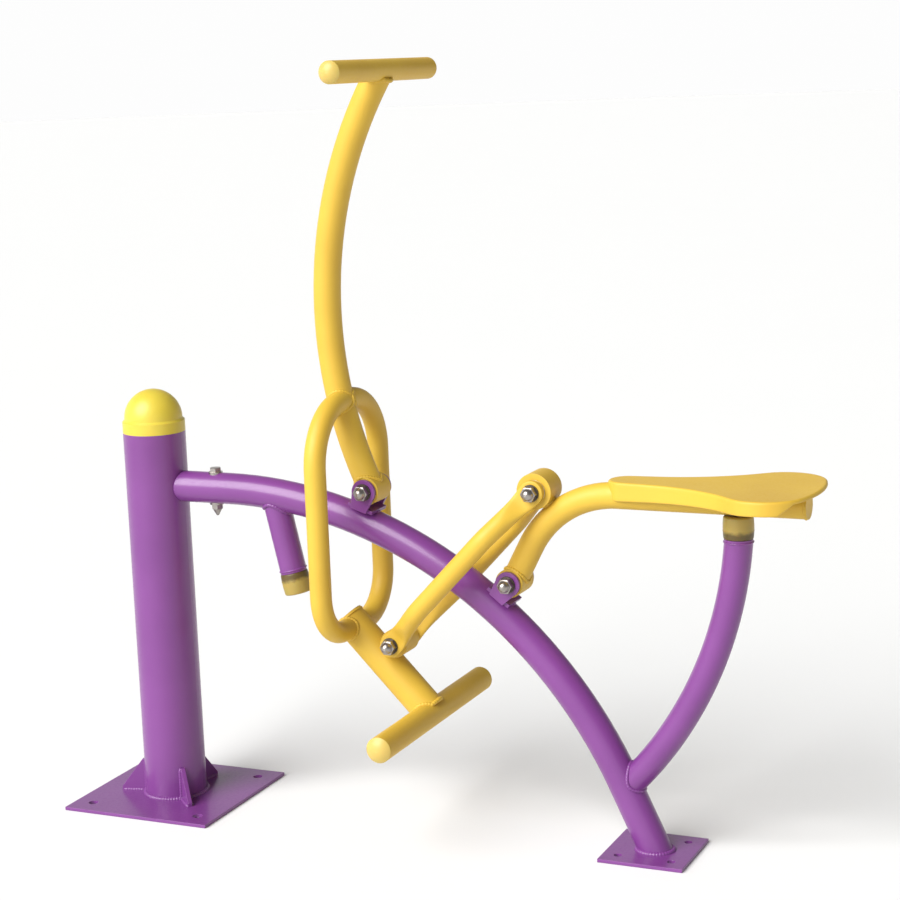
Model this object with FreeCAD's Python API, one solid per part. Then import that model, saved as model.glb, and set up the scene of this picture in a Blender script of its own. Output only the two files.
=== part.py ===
"""Outdoor riding exercise station: a fixed frame, a handle lever, a link and a seat lever.

Millimetres, +Z up. The origin is the centre of the underside of the column's base plate. +X runs along
the frame from the column to the seat, and the rider faces -X. +Y is the rider's right.
Each piece is a solid of its own, and each welded end is cut to the shape of the tube that it meets.
"""

import FreeCAD, Part

import math
import os

Vec = FreeCAD.Vector

# Column and its base plate
base_size = 300.0
base_thick = 6.0
base_hole_spacing = 225.0
base_hole_d = 18.0
column_d = 114.0
column_wall = 4.0
column_top = 696.0
gusset_thick = 8.0
gusset_reach = 48.0
gusset_height = 60.0
gusset_land = 6.0
gusset_count = 3
gusset_first_deg = -45.0
cap_band = 24.0
cap_height = 78.0
cap_shoulder = 4.0
cap_wall = 4.0
cap_plug = 25.0
cap_plug_clear = 0.2

# Bent frame tube, its spigot and its foot plate
frame_d = 57.0
frame_wall = 3.5
frame_z = 595.7
frame_bend_x = 151.5
frame_bend_r = 824.6
frame_bend_deg = 64.8
frame_end_gap = 2.0
spigot_clear = 0.3
spigot_wall = 4.0
spigot_reach = 93.0
clamp_x = 125.0
clamp_d = 12.0
clamp_hole_clear = 0.5
clamp_af = 19.0
clamp_head = 7.5
clamp_washer_d = 26.0
clamp_washer_thick = 1.5
clamp_nut_hex = 9.0
clamp_nut_cone = 12.0
foot_size = 150.0
foot_thick = 6.0
foot_setback = 3.5
foot_hole_spacing = 95.0
foot_hole_d = 14.0

# Rear strut, front stop and their buffers
strut_d = 48.0
strut_wall = 3.0
strut_x = 1106.0
strut_bend_r = 707.0
strut_lean_deg = 4.45
buffer_d = 50.0
buffer_height = 38.0
buffer_edge = 3.0
buffer_hole_d = 20.0
buffer_hole_depth = 14.0
rest_gap = 0.5
end_plate_thick = 5.0
buffer_screw_d = 8.0
buffer_screw_head_d = 16.0
buffer_screw_head = 7.0
stop_d = 48.0
stop_wall = 3.0
stop_x = 245.0
stop_lean_deg = 12.5
stop_length = 140.0
stop_buffer_height = 39.0

# Pivots: hubs, bearings, bolts, lugs and eyes
hub_d = 50.0
hub_length = 52.0
pin_d = 15.0
running_clear = 0.05
bearing_d = 35.0
bearing_width = 11.0
hub_core_d = 30.0
thrust_d = 38.0
thrust_thick = 2.0
side_clear = 0.5
washer_d = 30.0
washer_thick = 2.5
bolt_af = 24.0
bolt_head = 10.0
nut_hex = 12.0
nut_dome = 10.0
lug_thick = 6.0
lug_r = 22.0
lug_foot_half = 15.0
lug_base_half = 24.0
lug_base_thick = 5.0
hub_over_tube = 8.75
handle_pivot_deg = 19.01
seat_pivot_deg = 38.8
weld_sink = 1.5

# Handle lever
handle_d = 48.0
handle_wall = 3.0
handle_end_solid = 8.0
handle_end_short = 6.0
handle_start_deg = 25.0
handle_bend_r = 747.0
handle_turn_deg = 58.05
bar_d = 38.0
bar_wall = 2.5
handlebar_length = 395.0
foot_bar_d = 45.0
foot_bar_length = 454.0
bar_cap_height = 9.0
bar_cap_plug = 18.0
bar_cap_clear = 0.15
loop_d = 38.0
loop_wall = 2.5
loop_x = 395.0
loop_top = 766.0
loop_bottom = 359.0
loop_half_width = 123.0
loop_top_r = 105.0
loop_bottom_r = 80.0
stem_d = 60.0
stem_wall = 3.5
stem_end_solid = 8.0
stem_end_short = 8.0
stem_top_x = 381.0
stem_top_z = 373.5
stem_drop_deg = 46.0
stem_length = 229.0
stem_cap_thick = 4.0
stem_hub_along = 97.0
stem_hub_sink = 6.5
foot_bar_rise = 1.0

# Link between the foot stem and the seat lever
link_rod_d = 34.0
link_rod_wall = 3.0
link_bow = 80.0
link_flare_deg = 30.0
link_bend_r = 90.0
eye_d = 42.0
eye_thick = 12.0
eye_overlap = 4.0
link_rod_solid = 16.0
link_hub_clear = 1.0

# Seat lever and saddle
lever_d = 45.0
lever_wall = 3.0
lever_z = 621.0
lever_rise_deg = 62.5
lever_bend_r = 178.0
lever_end_x = 1220.0
lever_hub_deg = 127.5
lever_cap_thick = 4.0
open_pivot_clear = 7.6
open_bush_width = 11.0
seat_link_hub_d = 62.0
open_bore_wall = 11.0
saddle_thick = 4.5
saddle_bridge = 1.5
saddle_skirt = 24.0
saddle_tail_skirt = 6.5
saddle_nose_skirt = 33.0
saddle_round = 4.0
saddle_nose_x = 884.0
saddle_nose_half = 29.0
saddle_nose_deg = 6.0
saddle_nose_run = 50.0
saddle_lobe_x = 1168.0
saddle_lobe_y = 56.0
saddle_lobe_r = 70.0
saddle_tail_x = 1246.0
saddle_rise_start = 42.0
saddle_rise_end = 20.0
saddle_tube_clear = 0.5
mount_plate_length = 76.0
mount_plate_width = 30.0
mount_plate_thick = 5.0
mount_plate_inset = 132.0
mount_plate_back = 90.0
saddle_screw_d = 8.0
saddle_screw_head_d = 16.0
saddle_screw_head = 4.0
saddle_screw_spacing = 60.0
saddle_screw_cover = 1.5

AXIS_X = Vec(1, 0, 0)
AXIS_Y = Vec(0, 1, 0)
AXIS_Z = Vec(0, 0, 1)


def flat(x, z):
    """A point of the plane of symmetry."""
    return Vec(x, 0, z)


def heading(deg):
    """Unit vector in the plane of symmetry, at an angle above +X."""
    angle = math.radians(deg)
    return Vec(math.cos(angle), 0, math.sin(angle))


def joined(solids):
    """One solid from pieces that touch or overlap."""
    if len(solids) == 1:
        return solids[0]
    return solids[0].multiFuse(solids[1:]).removeSplitter()


def rod_run(start, along, inward, steps, radius):
    """A round bar of straight pieces and tangent bends. A bend with a positive angle turns towards inward."""
    point, t, n = Vec(start), Vec(along), Vec(inward)
    solids = []
    for kind, size, deg in steps:
        if kind == "line":
            solids.append(Part.makeCylinder(radius, size, point, t))
            point = point + t * size
            continue
        side = 1.0 if deg > 0 else -1.0
        centre = point + n * (size * side)
        axis = t.cross(n) * side
        disc = Part.Face(Part.Wire(Part.makeCircle(radius, point, t)))
        solids.append(disc.revolve(centre, axis, abs(deg)))
        turn = FreeCAD.Rotation(axis, abs(deg))
        point = centre + turn.multVec(point - centre)
        t = turn.multVec(t)
        n = turn.multVec(n)
    return joined(solids)


def tube_run(start, along, inward, steps, diameter, wall, solid_start=0.0, solid_end=0.0):
    """A hollow tube along the same kind of path. Its ends can stay solid for some length."""
    outside = rod_run(start, along, inward, steps, diameter / 2)
    bore = list(steps)
    if solid_start:
        kind, size, deg = bore[0]
        bore[0] = (kind, size - solid_start, deg)
    if solid_end:
        kind, size, deg = bore[-1]
        if kind == "line":
            bore[-1] = (kind, size - solid_end, deg)
        else:
            bore[-1] = (kind, size, deg - math.degrees(solid_end / size))
    return outside.cut(rod_run(start + along * solid_start, along, inward, bore, diameter / 2 - wall))


def biggest(shape):
    """The largest solid left after a cut."""
    return max(shape.Solids, key=lambda solid: solid.Volume)


def cross_rod(point, radius, half_length):
    """A round bar along Y through a point of the plane of symmetry, as long on either side."""
    return Part.makeCylinder(radius, 2 * half_length, point - AXIS_Y * half_length, AXIS_Y)


def ring(point, axis, outer_d, inner_d, thick):
    """A flat ring that starts at a point and grows along an axis."""
    disc = Part.makeCylinder(outer_d / 2, thick, point, axis)
    return disc.cut(Part.makeCylinder(inner_d / 2, thick, point, axis))


def hex_bar(point, axis, across_flats, height):
    """A hexagonal prism, with its corners turned off at the far end."""
    corner_r = across_flats / math.sqrt(3)
    points = []
    for i in range(7):
        angle = math.radians(60 * i)
        points.append(Vec(corner_r * math.cos(angle), corner_r * math.sin(angle), 0))
    prism = Part.Face(Part.makePolygon(points)).extrude(Vec(0, 0, height))
    face_r = across_flats / 2 * 0.96
    prism = prism.common(Part.makeCone(face_r + height / math.tan(math.radians(30)), face_r, height))
    prism.Placement = FreeCAD.Placement(point, FreeCAD.Rotation(AXIS_Z, axis))
    return prism


def dome(point, axis, foot_r, height):
    """The part of a ball that stands on a circle and rises by a height along an axis."""
    ball_r = (foot_r ** 2 + height ** 2) / (2 * height)
    half_deg = math.degrees(math.asin(min(1.0, foot_r / ball_r))) / 2
    if height > foot_r:
        half_deg = 90 - half_deg
    rim = Vec(foot_r, 0, 0)
    tip = Vec(0, 0, height)
    mid = Vec(ball_r * math.sin(math.radians(half_deg)), 0,
              height - ball_r + ball_r * math.cos(math.radians(half_deg)))
    outline = Part.Wire([
        Part.LineSegment(Vec(0, 0, 0), rim).toShape(),
        Part.Arc(rim, mid, tip).toShape(),
        Part.LineSegment(tip, Vec(0, 0, 0)).toShape(),
    ])
    solid = Part.Face(outline).revolve(Vec(0, 0, 0), AXIS_Z, 360)
    solid.Placement = FreeCAD.Placement(point, FreeCAD.Rotation(AXIS_Z, axis))
    return solid


def domed_nut(point, axis, across_flats, hex_height, dome_height, bore_d, bore_depth):
    """A cap nut: a hexagonal foot, a dome over it and a blind bore."""
    top = dome(point + axis * hex_height, axis, across_flats / 2 * 0.88, dome_height)
    nut = joined([hex_bar(point, axis, across_flats, hex_height), top])
    return nut.cut(Part.makeCylinder(bore_d / 2, bore_depth, point, axis))


# Where things are, worked out from the sizes above
column_r = column_d / 2
frame_r = frame_d / 2
hub_r = hub_d / 2
hub_half = hub_length / 2
stack_inner = hub_half + side_clear + thrust_thick
frame_bend_centre = flat(frame_bend_x, frame_z - frame_bend_r)
frame_bend_end = frame_bend_centre + heading(90 - frame_bend_deg) * frame_bend_r
frame_leg_dir = heading(-frame_bend_deg)
frame_leg_length = (frame_bend_end.z - foot_thick) / math.sin(math.radians(frame_bend_deg))
foot_point = frame_bend_end + frame_leg_dir * frame_leg_length
pivot_reach = frame_bend_r + frame_r + hub_r + hub_over_tube
handle_pivot = frame_bend_centre + heading(90 - handle_pivot_deg) * pivot_reach
seat_pivot = frame_bend_centre + heading(90 - seat_pivot_deg) * pivot_reach

stem_dir = heading(-stem_drop_deg)
stem_side = heading(90 - stem_drop_deg)
stem_top = flat(stem_top_x, stem_top_z)
stem_offset = stem_d / 2 + hub_r - stem_hub_sink
lower_link_pivot = stem_top + stem_dir * stem_hub_along + stem_side * stem_offset
foot_bar_point = stem_top + stem_dir * stem_length + stem_side * foot_bar_rise

lever_r = lever_d / 2
lever_corner_run = (lever_z - seat_pivot.z) / math.sin(math.radians(lever_rise_deg))
lever_tangent = lever_bend_r * math.tan(math.radians(lever_rise_deg / 2))
lever_straight = lever_corner_run - lever_tangent
lever_bend_start = seat_pivot + heading(lever_rise_deg) * lever_straight
lever_bend_centre = lever_bend_start + heading(lever_rise_deg - 90) * lever_bend_r
lever_flat_x = lever_bend_centre.x
upper_link_reach = lever_bend_r + lever_r + seat_link_hub_d / 2 - weld_sink
upper_link_pivot = lever_bend_centre + heading(lever_hub_deg) * upper_link_reach

link_vector = upper_link_pivot - lower_link_pivot
link_length = link_vector.Length
link_dir = link_vector * (1 / link_length)

pieces = {}

# Column
base = Part.makeBox(base_size, base_size, base_thick, Vec(-base_size / 2, -base_size / 2, 0))
for sx in (-1, 1):
    for sy in (-1, 1):
        at = Vec(sx * base_hole_spacing / 2, sy * base_hole_spacing / 2, 0)
        base = base.cut(Part.makeCylinder(base_hole_d / 2, base_thick, at))
pieces["base_plate"] = base

column_outside = Part.makeCylinder(column_r, column_top - base_thick, Vec(0, 0, base_thick))
column_bore_r = column_r - column_wall
column = column_outside.cut(Part.makeCylinder(column_bore_r, column_top - base_thick, Vec(0, 0, base_thick)))
pieces["main_column"] = column

gussets = []
for i in range(gusset_count):
    toe = column_r + gusset_reach
    outline = Part.makePolygon([
        Vec(column_r - 10, -gusset_thick / 2, base_thick),
        Vec(toe, -gusset_thick / 2, base_thick),
        Vec(toe, -gusset_thick / 2, base_thick + gusset_land),
        Vec(column_r + gusset_land, -gusset_thick / 2, base_thick + gusset_height),
        Vec(column_r - 10, -gusset_thick / 2, base_thick + gusset_height),
        Vec(column_r - 10, -gusset_thick / 2, base_thick),
    ])
    rib = Part.Face(outline).extrude(Vec(0, gusset_thick, 0))
    rib.rotate(Vec(0, 0, 0), AXIS_Z, gusset_first_deg + 360 / gusset_count * i)
    gussets.append(biggest(rib.cut(column_outside)))
pieces["base_gussets"] = Part.makeCompound(gussets)

dome_height = cap_height - cap_band
dome_r = column_r - cap_shoulder
cap_outside = joined([
    Part.makeCylinder(column_r, cap_band - cap_shoulder, Vec(0, 0, column_top)),
    Part.makeCone(column_r, dome_r, cap_shoulder, Vec(0, 0, column_top + cap_band - cap_shoulder)),
    dome(Vec(0, 0, column_top + cap_band), AXIS_Z, dome_r, dome_height),
    Part.makeCylinder(column_bore_r - cap_plug_clear, cap_plug, Vec(0, 0, column_top - cap_plug)),
])
cap_inner_r = column_bore_r - cap_plug_clear - cap_wall
cap_inside = joined([
    Part.makeCylinder(cap_inner_r, cap_band + cap_plug, Vec(0, 0, column_top - cap_plug)),
    dome(Vec(0, 0, column_top + cap_band), AXIS_Z, cap_inner_r, dome_height - cap_wall),
])
pieces["column_cap"] = cap_outside.cut(cap_inside)

# Frame tube on its spigot
frame_start_x = column_r - frame_r
frame_steps = [("line", frame_bend_x - frame_start_x, 0), ("arc", frame_bend_r, frame_bend_deg),
               ("line", frame_leg_length + frame_r, 0)]
frame_outside = rod_run(flat(frame_start_x, frame_z), AXIS_X, -AXIS_Z, frame_steps, frame_r)
frame = tube_run(flat(frame_start_x, frame_z), AXIS_X, -AXIS_Z, frame_steps, frame_d, frame_wall)
below_foot = Part.makeBox(foot_size, foot_size, foot_size,
                          Vec(foot_point.x - foot_size / 2, -foot_size / 2, foot_thick - foot_size))
column_gap = Part.makeCylinder(column_r + frame_end_gap, column_top, Vec(0, 0, 0))
frame = biggest(frame.cut(below_foot).cut(column_gap))

spigot_r = frame_r - frame_wall - spigot_clear
spigot_end = column_r + spigot_reach
spigot = Part.makeCylinder(spigot_r, spigot_end - frame_start_x, flat(frame_start_x, frame_z), AXIS_X)
spigot_bore = Part.makeCylinder(spigot_r - spigot_wall, spigot_end - frame_start_x,
                                flat(frame_start_x, frame_z), AXIS_X)
spigot = biggest(spigot.cut(spigot_bore).cut(column_outside))
clamp_hole = Part.makeCylinder(clamp_d / 2 + clamp_hole_clear, 2 * frame_d,
                               flat(clamp_x, frame_z - frame_d), AXIS_Z)
pieces["frame_tube"] = frame.cut(clamp_hole)
pieces["column_spigot"] = spigot.cut(clamp_hole)

clamp_seat = frame_r + clamp_washer_thick
clamp_bolt_end = clamp_seat + clamp_nut_hex
clamp_shank = Part.makeCylinder(clamp_d / 2, clamp_seat + clamp_bolt_end,
                                flat(clamp_x, frame_z - clamp_bolt_end), AXIS_Z)
clamp_top = hex_bar(flat(clamp_x, frame_z + clamp_seat), AXIS_Z, clamp_af, clamp_head)
pieces["clamp_bolt"] = joined([clamp_shank, clamp_top])
nut_at = flat(clamp_x, frame_z - clamp_seat)
cone = Part.makeCone(clamp_af / 2 * 0.9, 2.0, clamp_nut_cone, nut_at - AXIS_Z * clamp_nut_hex, -AXIS_Z)
cone_nut = joined([hex_bar(nut_at, -AXIS_Z, clamp_af, clamp_nut_hex), cone])
pieces["clamp_nut"] = cone_nut.cut(Part.makeCylinder(clamp_d / 2, clamp_nut_hex, nut_at, -AXIS_Z))
saddle_washers = []
for up in (1, -1):
    blank = ring(flat(clamp_x, frame_z + up * clamp_seat), AXIS_Z * -up, clamp_washer_d,
                 clamp_d + 2 * clamp_hole_clear, clamp_seat)
    saddle_washers.append(biggest(blank.cut(frame_outside)))
pieces["clamp_washers"] = Part.makeCompound(saddle_washers)

foot_x = foot_point.x - foot_setback
foot = Part.makeBox(foot_size, foot_size, foot_thick, Vec(foot_x - foot_size / 2, -foot_size / 2, 0))
for sx in (-1, 1):
    for sy in (-1, 1):
        at = Vec(foot_x + sx * foot_hole_spacing / 2, sy * foot_hole_spacing / 2, 0)
        foot = foot.cut(Part.makeCylinder(foot_hole_d / 2, foot_thick, at))
pieces["foot_plate"] = foot


def buffer_at(point, axis, height):
    """A round buffer with eased edges and a sunk hole for its screw."""
    edge_r = buffer_d / 2 - buffer_edge
    body = joined([
        Part.makeCylinder(buffer_d / 2, height - buffer_edge, point, axis),
        Part.makeCone(buffer_d / 2, edge_r, buffer_edge, point + axis * (height - buffer_edge), axis),
    ])
    body = body.cut(Part.makeCylinder(buffer_screw_d / 2, height, point, axis))
    return body.cut(Part.makeCylinder(buffer_hole_d / 2, buffer_hole_depth,
                                      point + axis * (height - buffer_hole_depth), axis))


def buffer_screw(point, axis, height):
    """The screw that holds a buffer on its end plate."""
    head_at = point + axis * (height - buffer_hole_depth)
    length = height - buffer_hole_depth + end_plate_thick
    return joined([
        Part.makeCylinder(buffer_screw_head_d / 2, buffer_screw_head, head_at, axis),
        Part.makeCylinder(buffer_screw_d / 2, length, point - axis * end_plate_thick, axis),
    ])


# Rear strut, down from the buffer in one bend into the frame's leg
buffer_top = lever_z - lever_r - rest_gap
buffer_foot = buffer_top - buffer_height
strut_top = buffer_foot - end_plate_thick
strut_head = flat(strut_x, strut_top)
strut_bend_centre = strut_head - heading(-strut_lean_deg) * strut_bend_r


def strut_miss(deg):
    """How far the strut's axis has gone past the frame's axis at an angle of its bend."""
    spot = strut_bend_centre + heading(-deg) * strut_bend_r
    normal = heading(90 - frame_bend_deg)
    return (spot - foot_point).dot(normal)


low, high = 5.0, 85.0
for _ in range(60):
    middle = (low + high) / 2
    if strut_miss(middle) > 0:
        low = middle
    else:
        high = middle
strut_turn = low - strut_lean_deg
strut_down = heading(-90 - strut_lean_deg)
strut_in = heading(180 - strut_lean_deg)
strut_steps = [("line", end_plate_thick, 0), ("arc", strut_bend_r, strut_turn)]
strut_start = strut_head - strut_down * end_plate_thick
strut = tube_run(strut_start, strut_down, strut_in, strut_steps, strut_d, strut_wall)
above_strut = Part.makeBox(2 * strut_d, 2 * strut_d, strut_d, strut_head - Vec(strut_d, strut_d, 0))
pieces["rear_strut"] = biggest(strut.cut(frame_outside).cut(above_strut))
pieces["rear_strut_end_plate"] = ring(strut_head, AXIS_Z, strut_d, buffer_screw_d, end_plate_thick)
pieces["rear_buffer"] = buffer_at(flat(strut_x, buffer_foot), AXIS_Z, buffer_height)
rear_screw = buffer_screw(flat(strut_x, buffer_foot), AXIS_Z, buffer_height)

# Front stop under the frame tube
stop_arc_z = frame_bend_centre.z + math.sqrt(frame_bend_r ** 2 - (stop_x - frame_bend_x) ** 2)
stop_dir = heading(stop_lean_deg - 90)
stop_root = flat(stop_x, stop_arc_z)
stop = tube_run(stop_root, stop_dir, AXIS_X, [("line", stop_length, 0)], stop_d, stop_wall)
pieces["front_stop_tube"] = biggest(stop.cut(frame_outside))
stop_end = stop_root + stop_dir * stop_length
pieces["front_stop_end_plate"] = ring(stop_end, stop_dir, stop_d, buffer_screw_d, end_plate_thick)
stop_buffer_foot = stop_end + stop_dir * end_plate_thick
pieces["front_buffer"] = buffer_at(stop_buffer_foot, stop_dir, stop_buffer_height)
front_screw = buffer_screw(stop_buffer_foot, stop_dir, stop_buffer_height)
pieces["buffer_screws"] = Part.makeCompound([rear_screw, front_screw])


def lug_pair(pivot, out_deg):
    """A bracket on top of the frame tube: a base plate, and a lug on either side that holds a pivot bolt."""
    out = heading(out_deg)
    across = heading(out_deg - 90)
    foot_at = pivot - out * (hub_r + hub_over_tube + weld_sink)
    plates = []
    for side in (-1, 1):
        y = AXIS_Y * (stack_inner if side > 0 else -stack_inner - lug_thick)
        outline = Part.makePolygon([
            pivot + across * lug_r + y,
            foot_at + across * lug_foot_half + y,
            foot_at - across * lug_foot_half + y,
            pivot - across * lug_r + y,
            pivot + across * lug_r + y,
        ])
        web = Part.Face(outline).extrude(AXIS_Y * lug_thick)
        head = Part.makeCylinder(lug_r, lug_thick, pivot + y, AXIS_Y)
        plates.append(joined([web, head]).cut(Part.makeCylinder(pin_d / 2, lug_thick, pivot + y, AXIS_Y)))
    corner = foot_at - across * lug_base_half - AXIS_Y * stack_inner
    outline = Part.makePolygon([
        corner,
        corner + across * (2 * lug_base_half),
        corner + across * (2 * lug_base_half) + AXIS_Y * (2 * stack_inner),
        corner + AXIS_Y * (2 * stack_inner),
        corner,
    ])
    plates.append(Part.Face(outline).extrude(out * (lug_base_thick + weld_sink)))
    return Part.makeCompound([biggest(plate.cut(frame_outside)) for plate in plates])


def pivot_bolt(pivot, clamp_half):
    """A hexagon bolt along Y, with its head on the rider's right."""
    seat = clamp_half + washer_thick
    shank = Part.makeCylinder(pin_d / 2, 2 * seat + nut_hex, pivot + AXIS_Y * seat, -AXIS_Y)
    return joined([shank, hex_bar(pivot + AXIS_Y * seat, AXIS_Y, bolt_af, bolt_head)])


def pivot_nut(pivot, clamp_half):
    """The cap nut on the rider's left."""
    seat = clamp_half + washer_thick
    return domed_nut(pivot - AXIS_Y * seat, -AXIS_Y, bolt_af, nut_hex, nut_dome, pin_d, nut_hex)


def washer_pair(pivot, inner_face, outer_d, thick):
    """Two rings on a bolt, one on either side, that start at the same distance from the middle."""
    left = ring(pivot - AXIS_Y * inner_face, -AXIS_Y, outer_d, pin_d, thick)
    right = ring(pivot + AXIS_Y * inner_face, AXIS_Y, outer_d, pin_d, thick)
    return [left, right]


def hub_at(pivot, outer_d, bearing_bore_d, bearing_depth, core_d):
    """A sleeve along Y with a bearing seat at either end."""
    hub = cross_rod(pivot, outer_d / 2, hub_half).cut(cross_rod(pivot, core_d / 2, hub_half))
    for side in (-1, 1):
        end = pivot + AXIS_Y * (side * hub_half)
        seat = Part.makeCylinder(bearing_bore_d / 2, bearing_depth, end, AXIS_Y * -side)
        hub = hub.cut(seat)
    return hub


def bearing_pair(pivot, outer_d, inner_d, width):
    """Two bearings, flush with the ends of a hub."""
    left = ring(pivot - AXIS_Y * hub_half, AXIS_Y, outer_d, inner_d, width)
    right = ring(pivot + AXIS_Y * hub_half, -AXIS_Y, outer_d, inner_d, width)
    return Part.makeCompound([left, right])


lug_outer = stack_inner + lug_thick
bearing_bore_d = pin_d + 2 * running_clear
for name, pivot, deg in (("handle", handle_pivot, handle_pivot_deg), ("seat", seat_pivot, seat_pivot_deg)):
    pieces[name + "_pivot_lugs"] = lug_pair(pivot, 90 - deg)
    pieces[name + "_pivot_bolt"] = pivot_bolt(pivot, lug_outer)
    pieces[name + "_pivot_nut"] = pivot_nut(pivot, lug_outer)
    pieces[name + "_pivot_washers"] = Part.makeCompound(washer_pair(pivot, lug_outer, washer_d, washer_thick))
    thrust = washer_pair(pivot, hub_half + side_clear, thrust_d, thrust_thick)
    pieces[name + "_thrust_washers"] = Part.makeCompound(thrust)
    pieces[name + "_hub"] = hub_at(pivot, hub_d, bearing_d, bearing_width, hub_core_d)
    pieces[name + "_hub_bearings"] = bearing_pair(pivot, bearing_d, bearing_bore_d, bearing_width)

# Handle lever
bar_r = bar_d / 2
handle_up = heading(90 + handle_start_deg)
handle_in = heading(handle_start_deg)
handle_short_deg = math.degrees(handle_end_short / handle_bend_r)
handle_steps = [("arc", handle_bend_r, handle_turn_deg - handle_short_deg)]
handle_centre = handle_pivot + handle_in * handle_bend_r
handlebar_point = handle_centre + heading(180 + handle_start_deg - handle_turn_deg) * handle_bend_r
handlebar_outside = cross_rod(handlebar_point, bar_r, handlebar_length / 2)
handle_outside = rod_run(handle_pivot, handle_up, handle_in, handle_steps, handle_d / 2)
handle = tube_run(handle_pivot, handle_up, handle_in, handle_steps, handle_d, handle_wall,
                  solid_end=bar_r + handle_end_solid - handle_end_short)
handle_hub_outside = cross_rod(handle_pivot, hub_r, hub_half)
pieces["handle_tube"] = biggest(handle.cut(handle_hub_outside).cut(handlebar_outside))


def bar_with_caps(point, radius, length):
    """A straight tube along Y and the rounded caps in its two ends."""
    half = length / 2 - bar_cap_height
    bar = cross_rod(point, radius, half).cut(cross_rod(point, radius - bar_wall, half))
    caps = []
    for side in (-1, 1):
        end = point + AXIS_Y * (side * half)
        end_dome = dome(end, AXIS_Y * side, radius, bar_cap_height)
        plug = Part.makeCylinder(radius - bar_wall - bar_cap_clear, bar_cap_plug, end, AXIS_Y * -side)
        caps.append(joined([end_dome, plug]))
    return bar, Part.makeCompound(caps)


pieces["handlebar"], pieces["handlebar_end_caps"] = bar_with_caps(handlebar_point, bar_r, handlebar_length)
foot_bar_r = foot_bar_d / 2
pieces["foot_bar"], pieces["foot_bar_end_caps"] = bar_with_caps(foot_bar_point, foot_bar_r, foot_bar_length)
foot_bar_outside = cross_rod(foot_bar_point, foot_bar_r, foot_bar_length / 2)

stem_tube_start = stem_top + stem_dir * stem_cap_thick
stem_run = [("line", stem_length - stem_cap_thick - stem_end_short, 0)]
stem_outside = Part.makeCylinder(stem_d / 2, stem_length, stem_top, stem_dir)
stem_hub_outside = cross_rod(lower_link_pivot, hub_r, hub_half)
stem = tube_run(stem_tube_start, stem_dir, stem_side, stem_run, stem_d, stem_wall,
                solid_end=foot_bar_r + stem_end_solid - stem_end_short)
pieces["foot_stem"] = biggest(stem.cut(stem_hub_outside).cut(foot_bar_outside))
pieces["foot_stem_cap"] = Part.makeCylinder(stem_d / 2, stem_cap_thick, stem_top, stem_dir)
pieces["stem_link_hub"] = hub_at(lower_link_pivot, hub_d, bearing_d, bearing_width, hub_core_d)
pieces["stem_link_bearings"] = bearing_pair(lower_link_pivot, bearing_d, bearing_bore_d, bearing_width)

loop_drop = loop_top - loop_bottom - loop_top_r - loop_bottom_r
loop_steps = [("line", loop_half_width - loop_top_r, 0), ("arc", loop_top_r, 90), ("line", loop_drop, 0),
              ("arc", loop_bottom_r, 90), ("line", loop_half_width - loop_bottom_r, 0)]
for name, side in (("left_loop_arm", -1), ("right_loop_arm", 1)):
    arm = tube_run(flat(loop_x, loop_top), AXIS_Y * side, -AXIS_Z, loop_steps, loop_d, loop_wall)
    pieces[name] = biggest(arm.cut(handle_outside).cut(stem_outside))

# Link: two bowed rods with an eye at each end, outside the hubs
eye_middle = stack_inner + eye_thick / 2
rod_start = eye_d / 2 - eye_overlap
flare = math.radians(link_flare_deg)
flare_rise = link_bend_r * (1 - math.cos(flare))
flare_run = link_bend_r * math.sin(flare)
flare_line = (link_bow - eye_middle - flare_rise) / math.sin(flare)
middle_line = link_length - 2 * (rod_start + flare_line * math.cos(flare) + flare_run)
link_steps = [("line", flare_line, 0), ("arc", link_bend_r, link_flare_deg), ("line", middle_line, 0),
              ("arc", link_bend_r, link_flare_deg), ("line", flare_line, 0)]
hub_room = [
    cross_rod(lower_link_pivot, hub_r + link_hub_clear, stack_inner),
    cross_rod(upper_link_pivot, seat_link_hub_d / 2 + open_pivot_clear + link_hub_clear, stack_inner),
]
eyes = []
for name, side in (("left_link_rod", -1), ("right_link_rod", 1)):
    out = AXIS_Y * side
    start = lower_link_pivot + out * eye_middle + link_dir * rod_start
    away = link_dir * math.cos(flare) + out * math.sin(flare)
    back = link_dir * math.sin(flare) - out * math.cos(flare)
    rod = tube_run(start, away, back, link_steps, link_rod_d, link_rod_wall, link_rod_solid, link_rod_solid)
    for pivot, room in zip((lower_link_pivot, upper_link_pivot), hub_room):
        eye_outside = Part.makeCylinder(eye_d / 2, eye_thick, pivot + out * stack_inner, out)
        head_room = Part.makeCylinder(eye_d / 2, 2 * eye_thick, pivot + out * (stack_inner + eye_thick), out)
        rod = rod.cut(eye_outside).cut(room).cut(head_room)
        eyes.append(eye_outside.cut(Part.makeCylinder(pin_d / 2, eye_thick, pivot + out * stack_inner, out)))
    pieces[name] = biggest(rod)
pieces["link_eyes"] = Part.makeCompound(eyes)
eye_outer = stack_inner + eye_thick
link_pivots = (lower_link_pivot, upper_link_pivot)
pieces["link_bolts"] = Part.makeCompound([pivot_bolt(p, eye_outer) for p in link_pivots])
pieces["link_nuts"] = Part.makeCompound([pivot_nut(p, eye_outer) for p in link_pivots])
flat_washers = [w for p in link_pivots for w in washer_pair(p, eye_outer, washer_d, washer_thick)]
pieces["link_washers"] = Part.makeCompound(flat_washers)
thrust_face = hub_half + side_clear
thrust_washers = [w for p in link_pivots for w in washer_pair(p, thrust_face, thrust_d, thrust_thick)]
pieces["link_thrust_washers"] = Part.makeCompound(thrust_washers)

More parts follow.
